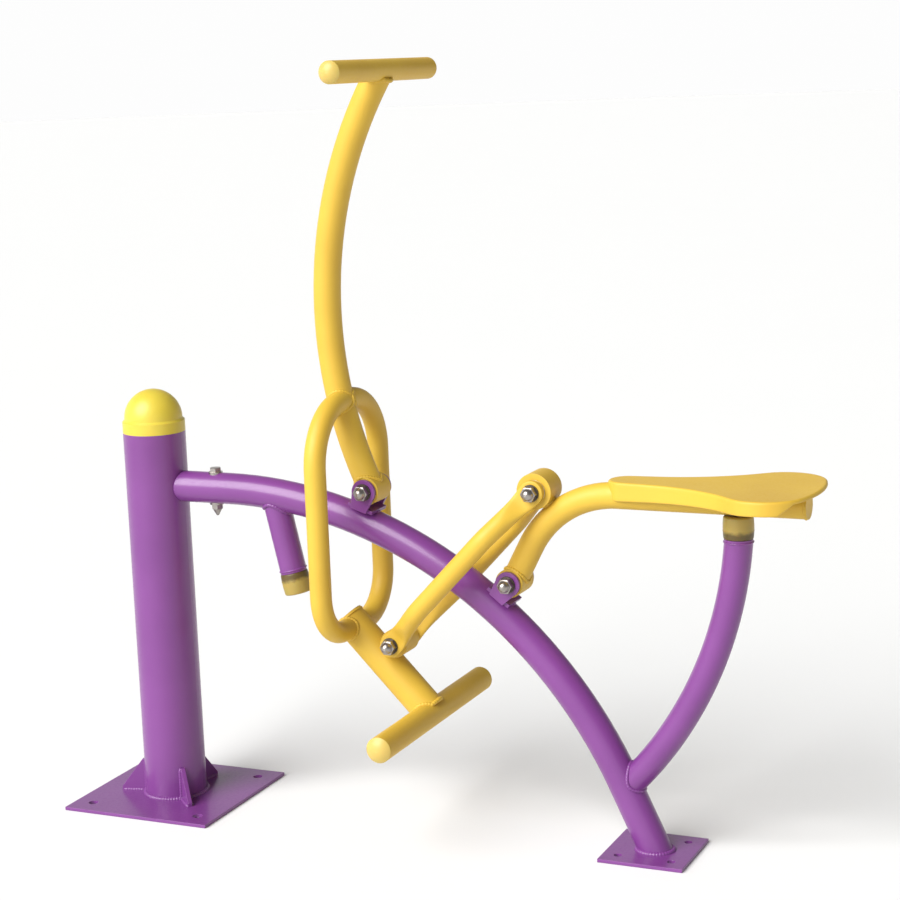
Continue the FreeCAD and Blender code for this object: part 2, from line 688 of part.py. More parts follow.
# Seat lever. Its link hub has room round the bolt, because the linkage is opened there.
lever_steps = [("line", lever_straight, 0), ("arc", lever_bend_r, lever_rise_deg),
               ("line", lever_end_x - lever_flat_x, 0)]
lever_up = heading(lever_rise_deg)
lever_in = heading(lever_rise_deg - 90)
seat_hub_outside = cross_rod(seat_pivot, hub_r, hub_half)
seat_link_hub_outside = cross_rod(upper_link_pivot, seat_link_hub_d / 2, hub_half)
lever = tube_run(seat_pivot, lever_up, lever_in, lever_steps, lever_d, lever_wall)
pieces["seat_lever_tube"] = biggest(lever.cut(seat_hub_outside).cut(seat_link_hub_outside))
open_bore_d = pin_d + 2 * open_pivot_clear
open_bush_d = seat_link_hub_d - 2 * open_bore_wall
pieces["seat_link_hub"] = hub_at(upper_link_pivot, seat_link_hub_d, open_bush_d, open_bush_width, open_bush_d)
pieces["seat_link_bushes"] = bearing_pair(upper_link_pivot, open_bush_d, open_bore_d, open_bush_width)
lever_end = flat(lever_end_x, lever_z)
pieces["seat_tube_end_cap"] = Part.makeCylinder(lever_r, lever_cap_thick, lever_end, AXIS_X)

# Saddle: a plate with the plan of a riding saddle and a skirt round its edge
saddle_floor = lever_z + lever_r + saddle_bridge
saddle_top = saddle_floor + saddle_thick


def saddle_blank(inset, low_z, high_z):
    """The saddle's plan, drawn in by an inset all round, between two heights.

    Each side is a line from the nose, a hollow arc, the arc of the wide lobe and half of the tail's arc.
    Each touches the next, and a round nose joins the two sides.
    """
    slope = math.radians(saddle_nose_deg)
    along = Vec(math.cos(slope), math.sin(slope), 0)
    out = Vec(-math.sin(slope), math.cos(slope), 0)
    level = Vec(0, 0, low_z)
    nose_r = saddle_nose_half * math.cos(slope) / (1 - math.sin(slope)) - inset
    nose_centre = Vec(saddle_nose_x + nose_r + inset, 0, low_z)
    line_start = nose_centre + out * nose_r
    line_end = line_start + along * saddle_nose_run
    lobe = Vec(saddle_lobe_x, saddle_lobe_y, low_z)
    lobe_r = saddle_lobe_r - inset
    gap = lobe - line_end
    hollow_r = (gap.dot(gap) - lobe_r ** 2) / (2 * (gap.dot(out) + lobe_r))
    hollow = line_end + out * hollow_r
    to_lobe = (lobe - hollow).normalize()
    back = saddle_lobe_x - saddle_tail_x + inset
    tail_r = (lobe_r ** 2 - back ** 2 - saddle_lobe_y ** 2) / (2 * (back + lobe_r))
    tail_centre = Vec(saddle_tail_x - inset - tail_r, 0, low_z)
    to_tail = (lobe - tail_centre).normalize()
    lobe_start = lobe - to_lobe * lobe_r
    lobe_end = lobe + to_tail * lobe_r
    hollow_mid = hollow + ((line_end - hollow).normalize() + to_lobe).normalize() * hollow_r
    lobe_mid = lobe + (to_tail - to_lobe).normalize() * lobe_r
    tail_tip = tail_centre + AXIS_X * tail_r
    side = [
        Part.LineSegment(line_start, line_end).toShape(),
        Part.Arc(line_end, hollow_mid, lobe_start).toShape(),
        Part.Arc(lobe_start, lobe_mid, lobe_end).toShape(),
    ]
    other = [edge.mirror(level, AXIS_Y) for edge in side]
    tail = Part.Arc(lobe_end, tail_tip, Vec(lobe_end.x, -lobe_end.y, low_z)).toShape()
    nose_tip = nose_centre - AXIS_X * nose_r
    nose = Part.Arc(line_start, nose_tip, Vec(line_start.x, -line_start.y, low_z)).toShape()
    wire = Part.Wire(Part.__sortEdges__(side + other + [tail, nose]))
    return Part.Face(wire).extrude(Vec(0, 0, high_z - low_z))


skirt_low = saddle_top - saddle_nose_skirt
saddle = saddle_blank(0.0, skirt_low, saddle_top)
top_edges = [edge for edge in saddle.Edges if all(abs(v.Z - saddle_top) < 0.01 for v in edge.Vertexes)]
saddle = saddle.makeFillet(saddle_round, top_edges)
saddle = saddle.cut(saddle_blank(saddle_thick, skirt_low, saddle_floor))
tube_room = Part.makeCylinder(lever_r + saddle_tube_clear, lever_end_x + lever_d - saddle_nose_x,
                              flat(saddle_nose_x - lever_r, lever_z), AXIS_X)
below_skirt = Part.Face(Part.makePolygon([
    Vec(saddle_nose_x, -2 * saddle_lobe_r, skirt_low),
    Vec(saddle_lobe_x, -2 * saddle_lobe_r, saddle_top - saddle_skirt),
    Vec(saddle_tail_x - saddle_rise_start, -2 * saddle_lobe_r, saddle_top - saddle_skirt),
    Vec(saddle_tail_x - saddle_rise_end, -2 * saddle_lobe_r, saddle_top - saddle_tail_skirt),
    Vec(saddle_tail_x + saddle_skirt, -2 * saddle_lobe_r, saddle_top - saddle_tail_skirt),
    Vec(saddle_tail_x + saddle_skirt, -2 * saddle_lobe_r, skirt_low - saddle_skirt),
    Vec(saddle_nose_x, -2 * saddle_lobe_r, skirt_low - saddle_skirt),
    Vec(saddle_nose_x, -2 * saddle_lobe_r, skirt_low),
])).extrude(AXIS_Y * (4 * saddle_lobe_r))
saddle = biggest(saddle.cut(tube_room).cut(below_skirt))

lever_outside = Part.makeCylinder(lever_r, lever_end_x - lever_flat_x, flat(lever_flat_x, lever_z), AXIS_X)
plates = []
screws = []
for x in (saddle_nose_x + mount_plate_inset, saddle_tail_x - mount_plate_back):
    corner = Vec(x - mount_plate_width / 2, -mount_plate_length / 2, saddle_floor - mount_plate_thick)
    plate = Part.makeBox(mount_plate_width, mount_plate_length, mount_plate_thick, corner).cut(lever_outside)
    for side in (-1, 1):
        at = Vec(x, side * saddle_screw_spacing / 2, saddle_floor - mount_plate_thick)
        shank_length = mount_plate_thick + saddle_thick - saddle_screw_cover
        shank = Part.makeCylinder(saddle_screw_d / 2, shank_length, at)
        plate = plate.cut(shank)
        saddle = saddle.cut(shank)
        head = Part.makeCylinder(saddle_screw_head_d / 2, saddle_screw_head, at, -AXIS_Z)
        screws.append(joined([shank, head]))
    plates.append(biggest(plate))
pieces["seat"] = saddle
pieces["seat_mount_plates"] = Part.makeCompound(plates)
pieces["seat_screws"] = Part.makeCompound(screws)

os.makedirs("parts", exist_ok=True)
for name, shape in pieces.items():
    shape.exportStep("parts/" + name + ".step")
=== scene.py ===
"""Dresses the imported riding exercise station: finishes, weld beads, link arms, saddle, buffers and studio.

The file is laid out as an add-on and is run as a script. Lengths are metres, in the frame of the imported
solids: +X runs from the column to the saddle, +Y is the rider's right and +Z is up.
"""

import bmesh
import bpy
import numpy as np
from mathutils import Matrix


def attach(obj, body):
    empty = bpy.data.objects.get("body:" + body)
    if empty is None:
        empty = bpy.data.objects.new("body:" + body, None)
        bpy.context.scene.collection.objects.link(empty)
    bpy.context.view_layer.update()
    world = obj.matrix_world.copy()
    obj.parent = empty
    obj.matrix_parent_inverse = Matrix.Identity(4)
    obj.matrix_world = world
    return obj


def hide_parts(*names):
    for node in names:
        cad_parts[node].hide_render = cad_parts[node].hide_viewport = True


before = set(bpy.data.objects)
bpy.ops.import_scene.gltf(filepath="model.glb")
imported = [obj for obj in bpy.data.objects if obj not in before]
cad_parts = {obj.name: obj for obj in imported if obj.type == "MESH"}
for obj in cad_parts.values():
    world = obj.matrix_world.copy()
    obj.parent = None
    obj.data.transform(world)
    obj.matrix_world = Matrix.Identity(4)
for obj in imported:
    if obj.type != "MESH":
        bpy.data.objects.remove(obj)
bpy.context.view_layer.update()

bl_info = {
    "name": "Riding exercise station",
    "version": (1, 0, 0),
    "blender": (4, 5, 0),
    "location": "3D View > Sidebar > Riding station",
    "description": "Dresses the solids of an outdoor riding exercise station",
    "category": "Object",
}


def linear(hex_colour):
    """An sRGB hex value as linear red, green, blue and alpha."""
    srgb = np.array([int(hex_colour[i:i + 2], 16) for i in (1, 3, 5)]) / 255
    curve = np.where(srgb <= 0.04045, srgb / 12.92, ((srgb + 0.055) / 1.055) ** 2.4)
    return (*curve.tolist(), 1.0)


# The frame's axes, and points and directions in its plane of symmetry
AXIS_X = np.array([1.0, 0.0, 0.0])
AXIS_Y = np.array([0.0, 1.0, 0.0])
AXIS_Z = np.array([0.0, 0.0, 1.0])


def plane_point(x, z):
    """A point of the plane of symmetry, from millimetres."""
    return np.array([x, 0.0, z]) * 0.001


def heading(degrees):
    """Unit vector in the plane of symmetry, at an angle above +X."""
    angle = np.radians(degrees)
    return np.array([np.cos(angle), 0.0, np.sin(angle)])


# Finishes

def add_node(tree, kind, settings=None, values=None, links=None):
    """Adds one node, then sets its properties, its input values and the links into its inputs."""
    node = tree.nodes.new(kind)
    for name, value in (settings or {}).items():
        setattr(node, name, value)
    for name, value in (values or {}).items():
        node.inputs[name].default_value = value
    for name, socket in (links or {}).items():
        tree.links.new(socket, node.inputs[name])
    return node


def new_material(name):
    """An empty node material, its tree and the socket of its object coordinates."""
    material = bpy.data.materials.new(name)
    material.use_nodes = True
    tree = material.node_tree
    tree.nodes.clear()
    return material, tree, add_node(tree, "ShaderNodeTexCoord").outputs["Object"]


def powder_coat(name, colour, deep, pale, rough, coat):
    """Polyester powder coat, sprayed on steel and baked.

    The eye sees a smooth gloss over a fine orange peel, a film that is a little deeper in broad patches,
    dull specks where dust settled in the melt, and edges that are eased and paler, because the melt draws
    back from them. The peel is drawn about twice as coarse as it is.
    """
    material, tree, place = new_material(name)
    patch = add_node(tree, "ShaderNodeTexNoise", values={"Scale": 1 / 0.14, "Detail": 3.0},
                     links={"Vector": place})
    spread = add_node(tree, "ShaderNodeMapRange",
                      values={"From Min": 0.38, "From Max": 0.72, "To Max": 0.55},
                      links={"Value": patch.outputs["Fac"]})
    shade = add_node(tree, "ShaderNodeMix", {"data_type": "RGBA"}, {"A": colour, "B": deep},
                     {"Factor": spread.outputs["Result"]})
    speck = add_node(tree, "ShaderNodeTexNoise",
                     values={"Scale": 1 / 0.006, "Detail": 4.0, "Roughness": 0.65}, links={"Vector": place})
    dull = add_node(tree, "ShaderNodeMapRange",
                    values={"From Min": 0.45, "From Max": 0.75, "To Min": rough, "To Max": rough + 0.12},
                    links={"Value": speck.outputs["Fac"]})
    peel = add_node(tree, "ShaderNodeTexNoise",
                    values={"Scale": 1 / 0.003, "Detail": 2.0, "Roughness": 0.4}, links={"Vector": place})
    eased = add_node(tree, "ShaderNodeBevel", {"samples": 4}, {"Radius": 0.0016})
    bump = add_node(tree, "ShaderNodeBump", values={"Strength": 0.1, "Distance": 0.0004},
                    links={"Height": peel.outputs["Fac"], "Normal": eased.outputs["Normal"]})
    flat = add_node(tree, "ShaderNodeNewGeometry")
    bend = add_node(tree, "ShaderNodeVectorMath", {"operation": "DOT_PRODUCT"},
                    links={0: eased.outputs["Normal"], 1: flat.outputs["Normal"]})
    thin = add_node(tree, "ShaderNodeMapRange", values={"From Min": 0.99, "From Max": 0.86, "To Max": 0.4},
                    links={"Value": bend.outputs["Value"]})
    worn = add_node(tree, "ShaderNodeMix", {"data_type": "RGBA"}, {"B": pale},
                    {"Factor": thin.outputs["Result"], "A": shade.outputs["Result"]})
    surface = add_node(tree, "ShaderNodeBsdfPrincipled",
                       values={"IOR": 1.45, "Coat Weight": coat, "Coat Roughness": 0.16},
                       links={"Base Color": worn.outputs["Result"], "Roughness": dull.outputs["Result"],
                              "Normal": bump.outputs["Normal"]})
    add_node(tree, "ShaderNodeOutputMaterial", links={"Surface": surface.outputs["BSDF"]})
    return material


def moulded_plastic(name, colour, pale):
    """Polypropylene, injection moulded.

    The eye sees a soft satin skin with a fine spark-eroded grain, a little paler where the sun has bleached
    it. The grain is drawn at 1.2 mm, twice its size, so that it shows.
    """
    material, tree, place = new_material(name)
    bleach = add_node(tree, "ShaderNodeTexNoise", values={"Scale": 1 / 0.06, "Detail": 3.0},
                      links={"Vector": place})
    shade = add_node(tree, "ShaderNodeMix", {"data_type": "RGBA"}, {"A": colour, "B": pale},
                     {"Factor": bleach.outputs["Fac"]})
    grain = add_node(tree, "ShaderNodeTexNoise", values={"Scale": 1 / 0.0012, "Detail": 2.0},
                     links={"Vector": place})
    bump = add_node(tree, "ShaderNodeBump", values={"Strength": 0.2, "Distance": 0.0003},
                    links={"Height": grain.outputs["Fac"]})
    gloss = add_node(tree, "ShaderNodeMapRange", values={"To Min": 0.32, "To Max": 0.46},
                     links={"Value": grain.outputs["Fac"]})
    surface = add_node(tree, "ShaderNodeBsdfPrincipled",
                       values={"IOR": 1.49, "Subsurface Weight": 0.08, "Subsurface Scale": 0.004},
                       links={"Base Color": shade.outputs["Result"], "Roughness": gloss.outputs["Result"],
                              "Normal": bump.outputs["Normal"]})
    add_node(tree, "ShaderNodeOutputMaterial", links={"Surface": surface.outputs["BSDF"]})
    return material


def bright_steel(name, colour, stain, low_rough, high_rough, scratch_mm):
    """Steel with a bright plated or ground skin.

    The eye sees a mirror broken by fine marks along Y, which is how the bolts lie, and by a faint grey
    film. The washers' dull dark skin is painted shade, standing for the dark ring of shade round the nuts.
    """
    material, tree, place = new_material(name)
    stretch = add_node(tree, "ShaderNodeMapping", values={"Scale": (1.0, 0.08, 1.0)},
                       links={"Vector": place})
    marks = add_node(tree, "ShaderNodeTexNoise",
                     values={"Scale": 1000 / scratch_mm, "Detail": 5.0, "Roughness": 0.7},
                     links={"Vector": stretch.outputs["Vector"]})
    film = add_node(tree, "ShaderNodeTexNoise", values={"Scale": 1 / 0.012, "Detail": 4.0},
                    links={"Vector": place})
    shade = add_node(tree, "ShaderNodeMix", {"data_type": "RGBA"}, {"A": colour, "B": stain},
                     {"Factor": film.outputs["Fac"]})
    gloss = add_node(tree, "ShaderNodeMapRange", values={"To Min": low_rough, "To Max": high_rough},
                     links={"Value": marks.outputs["Fac"]})
    bump = add_node(tree, "ShaderNodeBump", values={"Strength": 0.15, "Distance": 0.0002},
                    links={"Height": marks.outputs["Fac"]})
    surface = add_node(tree, "ShaderNodeBsdfPrincipled", values={"Metallic": 1.0},
                       links={"Base Color": shade.outputs["Result"], "Roughness": gloss.outputs["Result"],
                              "Normal": bump.outputs["Normal"]})
    add_node(tree, "ShaderNodeOutputMaterial", links={"Surface": surface.outputs["BSDF"]})
    return material


def cast_polyurethane(name, colour, dark):
    """Polyurethane rubber, cast in a round mould.

    The eye sees a waxy amber that light enters, darker towards the plate that it is screwed to.
    The piece's own attribute rise runs from 0 at its foot to 1 at its top.
    """
    material, tree, place = new_material(name)
    rise = add_node(tree, "ShaderNodeAttribute", {"attribute_name": "rise"})
    cloud = add_node(tree, "ShaderNodeTexNoise", values={"Scale": 1 / 0.009, "Detail": 4.0},
                     links={"Vector": place})
    edge = add_node(tree, "ShaderNodeMath", {"operation": "MULTIPLY_ADD"}, {1: 0.24, 2: -0.12},
                    {0: cloud.outputs["Fac"]})
    level = add_node(tree, "ShaderNodeMath", {"operation": "ADD"},
                     links={0: rise.outputs["Fac"], 1: edge.outputs["Value"]})
    # The colour is dark at the foot and turns to the buffer's colour above a ragged line about a third of
    # the way up
    towards_top = add_node(tree, "ShaderNodeMapRange", values={"From Min": 0.24, "From Max": 0.42},
                     links={"Value": level.outputs["Value"]})
    shade = add_node(tree, "ShaderNodeMix", {"data_type": "RGBA"}, {"A": dark, "B": colour},
                     {"Factor": towards_top.outputs["Result"]})
    gloss = add_node(tree, "ShaderNodeMapRange", values={"To Min": 0.34, "To Max": 0.5},
                     links={"Value": cloud.outputs["Fac"]})
    bump = add_node(tree, "ShaderNodeBump", values={"Strength": 0.15, "Distance": 0.0004},
                    links={"Height": cloud.outputs["Fac"]})
    surface = add_node(tree, "ShaderNodeBsdfPrincipled",
                       values={"IOR": 1.5, "Subsurface Weight": 0.3, "Subsurface Scale": 0.006},
                       links={"Base Color": shade.outputs["Result"], "Roughness": gloss.outputs["Result"],
                              "Normal": bump.outputs["Normal"]})
    add_node(tree, "ShaderNodeOutputMaterial", links={"Surface": surface.outputs["BSDF"]})
    return material


def studio_floor(name, colour):
    """Matt white vinyl sheet, rolled out: an even pale ground with the least change of tone."""
    material, tree, place = new_material(name)
    cloud = add_node(tree, "ShaderNodeTexNoise", values={"Scale": 1 / 0.8, "Detail": 2.0},
                     links={"Vector": place})
    gloss = add_node(tree, "ShaderNodeMapRange", values={"To Min": 0.6, "To Max": 0.7},
                     links={"Value": cloud.outputs["Fac"]})
    surface = add_node(tree, "ShaderNodeBsdfPrincipled",
                       values={"Base Color": colour, "Specular IOR Level": 0.2},
                       links={"Roughness": gloss.outputs["Result"]})
    add_node(tree, "ShaderNodeOutputMaterial", links={"Surface": surface.outputs["BSDF"]})
    return material


# Shapes

LINE_POINTS = 180
BEAD_SIDES = 12
COIN_STEPS = 5
MERGE_DISTANCE = 1e-7


def grid_faces(rows, columns, close_rows, close_columns):
    """Corner numbers of a grid's quads, its points stored row by row.

    The corner in row a and column b has the number a times the columns plus b. A closed direction joins its
    two ends.
    """
    row = np.arange(rows if close_rows else rows - 1)
    column = np.arange(columns if close_columns else columns - 1)
    a, b = np.meshgrid(row, column, indexing="ij")
    next_a = (a + 1) % rows
    next_b = (b + 1) % columns
    quads = [a * columns + b, next_a * columns + b, next_a * columns + next_b, a * columns + next_b]
    return np.stack(quads, axis=-1).reshape(-1, 4)


def outward(points, quads):
    """The quads, turned round where they enclose their volume from the inside."""
    corner = (points - points.mean(axis=0))[quads]
    first = np.cross(corner[:, 1], corner[:, 2])
    second = np.cross(corner[:, 2], corner[:, 3])
    volume = (corner[:, 0] * (first + second)).sum()
    return quads if volume > 0 else quads[:, ::-1]


def add_piece(name, shapes, material, body):
    """One object from closed grids, each a pair of points and quads. Doubled points are merged."""
    counts = np.cumsum([0] + [len(points) for points, _ in shapes])
    points = np.concatenate([points for points, _ in shapes])
    quads = np.concatenate([outward(*shape) + first for shape, first in zip(shapes, counts)])
    mesh = bpy.data.meshes.new(name)
    mesh.from_pydata(points.tolist(), [], quads.tolist())
    merged = bmesh.new()
    merged.from_mesh(mesh)
    bmesh.ops.remove_doubles(merged, verts=merged.verts, dist=MERGE_DISTANCE)
    bmesh.ops.dissolve_degenerate(merged, edges=merged.edges, dist=MERGE_DISTANCE)
    merged.to_mesh(mesh)
    merged.free()
    mesh.shade_smooth()
    mesh.materials.append(material)
    piece = bpy.data.objects.new(name, mesh)
    bpy.context.scene.collection.objects.link(piece)
    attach(piece, body)
    return piece


def across(along):
    """Two unit vectors square to a direction and to each other."""
    first = AXIS_Y if abs(along[1]) < 0.9 else AXIS_X
    first = first - along * first.dot(along)
    first = first / np.linalg.norm(first)
    return first, np.cross(along, first)


def straight_skin(start, along, radius):
    """Skin of a straight tube: start plus the run along it plus a circle of its radius square to it."""
    one, two = across(along)

    def skin(turn, run):
        circle = np.cos(turn)[:, None] * one + np.sin(turn)[:, None] * two
        return start + run[:, None] * along + radius * circle
    return skin


def bent_skin(centre, bend_radius, radius, first, forward):
    """Skin of a tube bent round a centre: the centre plus a spoke of the bend plus a circle at its end.

    The spoke turns from the direction first towards forward, by an angle in radians.
    """
    square = np.cross(first, forward)

    def skin(turn, angle):
        spoke = np.cos(angle)[:, None] * first + np.sin(angle)[:, None] * forward
        reach = bend_radius + radius * np.cos(turn)
        return centre + reach[:, None] * spoke + radius * np.sin(turn)[:, None] * square
    return skin


def off_straight(start, along, radius):
    """How far points lie outside a straight tube."""
    def off(points):
        arm = points - start
        return np.linalg.norm(arm - (arm @ along)[:, None] * along, axis=1) - radius
    return off


def off_bend(centre, bend_radius, radius):
    """How far points lie outside a tube bent in the plane of symmetry."""
    def off(points):
        arm = points - centre
        return np.hypot(np.hypot(arm[:, 0], arm[:, 2]) - bend_radius, arm[:, 1]) - radius
    return off


def seam(skin, off, inner, outer, count=LINE_POINTS):
    """The closed line where a tube's skin meets another piece.

    Each line along the skin runs from inner, within the other piece, to outer, clear of it, and is halved
    until its end stands on the other's surface.
    """
    turn = np.linspace(0, 2 * np.pi, count, endpoint=False)
    low = np.full(count, float(inner))
    high = np.full(count, float(outer))
    for _ in range(40):
        middle = (low + high) / 2
        within = off(skin(turn, middle)) < 0
        low = np.where(within, middle, low)
        high = np.where(within, high, middle)
    return skin(turn, low)


def circle_line(centre, axis, radius, count=LINE_POINTS):
    """The points of a circle round an axis."""
    turn = np.linspace(0, 2 * np.pi, count, endpoint=False)
    return straight_skin(centre, axis, radius)(turn, np.zeros(count))


def straight_line(start, end, count=60):
    """Points in line from a start to an end."""
    share = np.linspace(0, 1, count)[:, None]
    return start * (1 - share) + end * share


def hub_line(tube_point, along, up, tube_radius, hub_radius, apart, count=LINE_POINTS):
    """The closed line where a hub along Y lies in the back of a tube, their axes apart by a distance.

    At a distance y off the middle, the tube's back is as high as the root of its radius squared less y
    squared, and the hub is as wide there as the root of its own radius squared less the height that is
    left, squared.
    """
    turn = np.linspace(0, 2 * np.pi, count, endpoint=False)
    half = np.sqrt(tube_radius ** 2 - (apart - hub_radius) ** 2)
    y = half * np.sin(turn)
    height = np.sqrt(tube_radius ** 2 - y ** 2)
    width = np.sqrt(np.maximum(0, hub_radius ** 2 - (apart - height) ** 2)) * np.sign(np.cos(turn))
    return tube_point + width[:, None] * along + height[:, None] * up + y[:, None] * AXIS_Y


def bead(line, radius, pitch, closed=True):
    """A weld bead: a round section carried along a line, like a row of stacked coins.

    The line is spaced out evenly. The section's radius is 0.86 of the bead's, plus 0.2 of it times a
    parabola that rises and falls once in each pitch. An open bead narrows to a tenth over its last pitch at
    either end.
    """
    if closed:
        line = np.vstack([line, line[:1]])
    step = np.linalg.norm(np.diff(line, axis=0), axis=1)
    length = np.concatenate([[0], np.cumsum(step)])
    total = length[-1]
    coins = max(2, round(total / pitch))
    count = coins * COIN_STEPS + (0 if closed else 1)
    run = np.linspace(0, total, count, endpoint=not closed)
    path = np.stack([np.interp(run, length, line[:, i]) for i in range(3)], axis=1)
    if closed:
        ahead = np.roll(path, -1, axis=0) - np.roll(path, 1, axis=0)
    else:
        ahead = np.gradient(path, axis=0)
    ahead = ahead / np.linalg.norm(ahead, axis=1)[:, None]
    square = np.linalg.svd(path - path.mean(axis=0), full_matrices=False)[2][2]
    side = square - (ahead @ square)[:, None] * ahead
    side = side / np.linalg.norm(side, axis=1)[:, None]
    rise = np.cross(ahead, side)
    phase = (run / total * coins) % 1.0
    size = radius * (0.86 + 0.2 * (1 - (2 * phase - 1) ** 2))
    if not closed:
        size = size * np.clip(np.minimum(run, total - run) / pitch + 0.1, 0, 1)
    turn = np.linspace(0, 2 * np.pi, BEAD_SIDES, endpoint=False)[:, None]
    ring = np.cos(turn) * side[:, None, :] + np.sin(turn) * rise[:, None, :]
    points = path[:, None, :] + size[:, None, None] * ring
    if not closed:
        first, last = (np.repeat(path[[i], None], BEAD_SIDES, axis=1) for i in (0, -1))
        points = np.concatenate([first, points, last])
    return points.reshape(-1, 3), grid_faces(len(points), BEAD_SIDES, closed, True)


def lay_beads(closed, opened, pitch):
    """The beads along closed lines and open ones, each given with its bead's radius."""
    beads = [bead(line, radius, pitch) for line, radius in closed]
    return beads + [bead(line, radius, pitch, False) for line, radius in opened]


# Sizes and colours that a user would change

class StationPaint(bpy.types.PropertyGroup):
    """Colours of the finishes."""
    frame_colour: bpy.props.FloatVectorProperty(
        name="Frame", description="Powder coat of the fixed frame", subtype="COLOR", size=4, min=0, max=1,
        default=linear("#773A82"))
    frame_deep: bpy.props.FloatVectorProperty(
        name="Frame, thick film", description="The frame's paint where its film is thick", subtype="COLOR",
        size=4, min=0, max=1, default=linear("#6A3075"))
    lever_colour: bpy.props.FloatVectorProperty(
        name="Levers", description="Powder coat of the levers, the link and the saddle", subtype="COLOR",
        size=4, min=0, max=1, default=linear("#D1AC3A"))
    lever_deep: bpy.props.FloatVectorProperty(
        name="Levers, thick film", description="The levers' paint where its film is thick", subtype="COLOR",
        size=4, min=0, max=1, default=linear("#C49B32"))
    cap_colour: bpy.props.FloatVectorProperty(
        name="Column cap", description="Plastic of the column's dome", subtype="COLOR", size=4,
        min=0, max=1, default=linear("#CAB233"))
    bar_cap_colour: bpy.props.FloatVectorProperty(
        name="Bar caps", description="Plastic of the caps in the bars' ends", subtype="COLOR", size=4,
        min=0, max=1, default=linear("#C4A24F"))
    buffer_colour: bpy.props.FloatVectorProperty(
        name="Buffers", description="Cast rubber of the two buffers", subtype="COLOR", size=4, min=0, max=1,
        default=linear("#A28C42"))
    # The darker colour that each buffer has towards its foot
    buffer_dark: bpy.props.FloatVectorProperty(
        name="Buffers, foot", description="Darker foot of the two buffers", subtype="COLOR", size=4,
        min=0, max=1, default=linear("#5A4A1E"))


class StationShapes(bpy.types.PropertyGroup):
    """Sizes of the pieces that are added to the solids."""
    bead_radius: bpy.props.FloatProperty(
        name="Weld bead", description="Radius of a weld bead's section", unit="LENGTH",
        min=0.001, max=0.008, default=0.0035)
    bead_pitch: bpy.props.FloatProperty(
        name="Bead ripple", description="Length of one ripple of a weld bead, drawn twice as long as it is",
        unit="LENGTH", min=0.002, max=0.02, default=0.005)
    saddle_dish: bpy.props.FloatProperty(
        name="Saddle dish", description="How far the saddle's middle lies below its wide edges",
        unit="LENGTH", min=0.0, max=0.0012, default=0.001)
    saddle_round: bpy.props.FloatProperty(
        name="Saddle edge", description="Radius of the saddle's upper edge", unit="LENGTH", min=0.002,
        max=0.005, default=0.0042)
    buffer_belly: bpy.props.FloatProperty(
        name="Buffer belly", description="How far a buffer's side swells", unit="LENGTH",
        min=0.0, max=0.003, default=0.0008)


class StationStage(bpy.types.PropertyGroup):
    """The studio."""
    floor_colour: bpy.props.FloatVectorProperty(
        name="Floor", description="Colour of the studio floor", subtype="COLOR", size=4, min=0, max=1,
        default=linear("#EAEAE9"))
    key_strength: bpy.props.FloatProperty(
        name="Key light", description="Strength of the soft key light", min=0, max=20, default=4.9)
    room_low: bpy.props.FloatProperty(
        name="Room light, low", description="Strength of the light from the room's walls", min=0, max=5,
        default=0.985)
    room_high: bpy.props.FloatProperty(
        name="Room light, high", description="Strength of the light from the room's ceiling", min=0, max=5,
        default=0.22)
    room_shade: bpy.props.FloatProperty(
        name="Room shade", description="How much lower the walls' light stops, away from the key light",
        min=0, max=10, default=3.0)
    lens: bpy.props.FloatProperty(
        name="Lens", description="Focal length of the camera in millimetres, for a 36 mm sensor",
        unit="CAMERA", min=20, max=200, default=84.440)


def finish_of(name):
    """A material by name, or an error that says which is missing."""
    material = bpy.data.materials.get(name)
    if material is None:
        raise RuntimeError("the material " + name + " is missing: make the finishes first")
    return material


def dress(material, nodes):
    """Gives each named node of the solids one material."""
    for name in nodes:
        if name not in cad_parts:
            raise RuntimeError("the packed solids have no node " + name)
        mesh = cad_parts[name].data
        mesh.materials.clear()
        mesh.materials.append(material)


class STATION_OT_finishes(bpy.types.Operator):
    """Makes the paints, plastics, metals and rubber"""
    bl_idname = "station.finishes"
    bl_label = "Finishes"

    def execute(self, context):
        paint = context.scene.station_paint
        powder_coat("purple_powder_coat", paint.frame_colour, paint.frame_deep, pale=linear("#A060AC"),
                    rough=0.34, coat=0.35)
        powder_coat("yellow_powder_coat", paint.lever_colour, paint.lever_deep, pale=linear("#E0C664"),
                    rough=0.48, coat=0.0)
        moulded_plastic("lemon_polypropylene", paint.cap_colour, linear("#D6C24A"))
        moulded_plastic("pale_yellow_polypropylene", paint.bar_cap_colour, linear("#CEB862"))
        cast_polyurethane("amber_polyurethane", paint.buffer_colour, paint.buffer_dark)
        bright_steel("zinc_plated_steel", linear("#B8B3AE"), linear("#8E8781"),
                     low_rough=0.2, high_rough=0.42, scratch_mm=1.2)
        # Painted shade: a darker zinc for the washers, standing for the dark ring of shade round the nuts
        bright_steel("shade_painted_zinc_steel", linear("#6E665E"), linear("#4A433D"),
                     low_rough=0.38, high_rough=0.6, scratch_mm=1.2)
        bright_steel("ground_bearing_steel", linear("#C4C6C9"), linear("#B0B2B5"),
                     low_rough=0.08, high_rough=0.2, scratch_mm=0.8)
        moulded_plastic("natural_nylon", linear("#D9D4C4"), linear("#E6E2D6"))
        return {"FINISHED"}


class STATION_OT_painted_frame(bpy.types.Operator):
    """Paints the fixed frame"""
    bl_idname = "station.painted_frame"
    bl_label = "Painted frame"

    def execute(self, context):
        dress(finish_of("purple_powder_coat"), [
            "base_plate", "base_gussets", "main_column", "column_spigot", "frame_tube", "foot_plate",
            "rear_strut", "rear_strut_end_plate", "front_stop_tube", "front_stop_end_plate",
            "handle_pivot_lugs", "seat_pivot_lugs"])
        return {"FINISHED"}


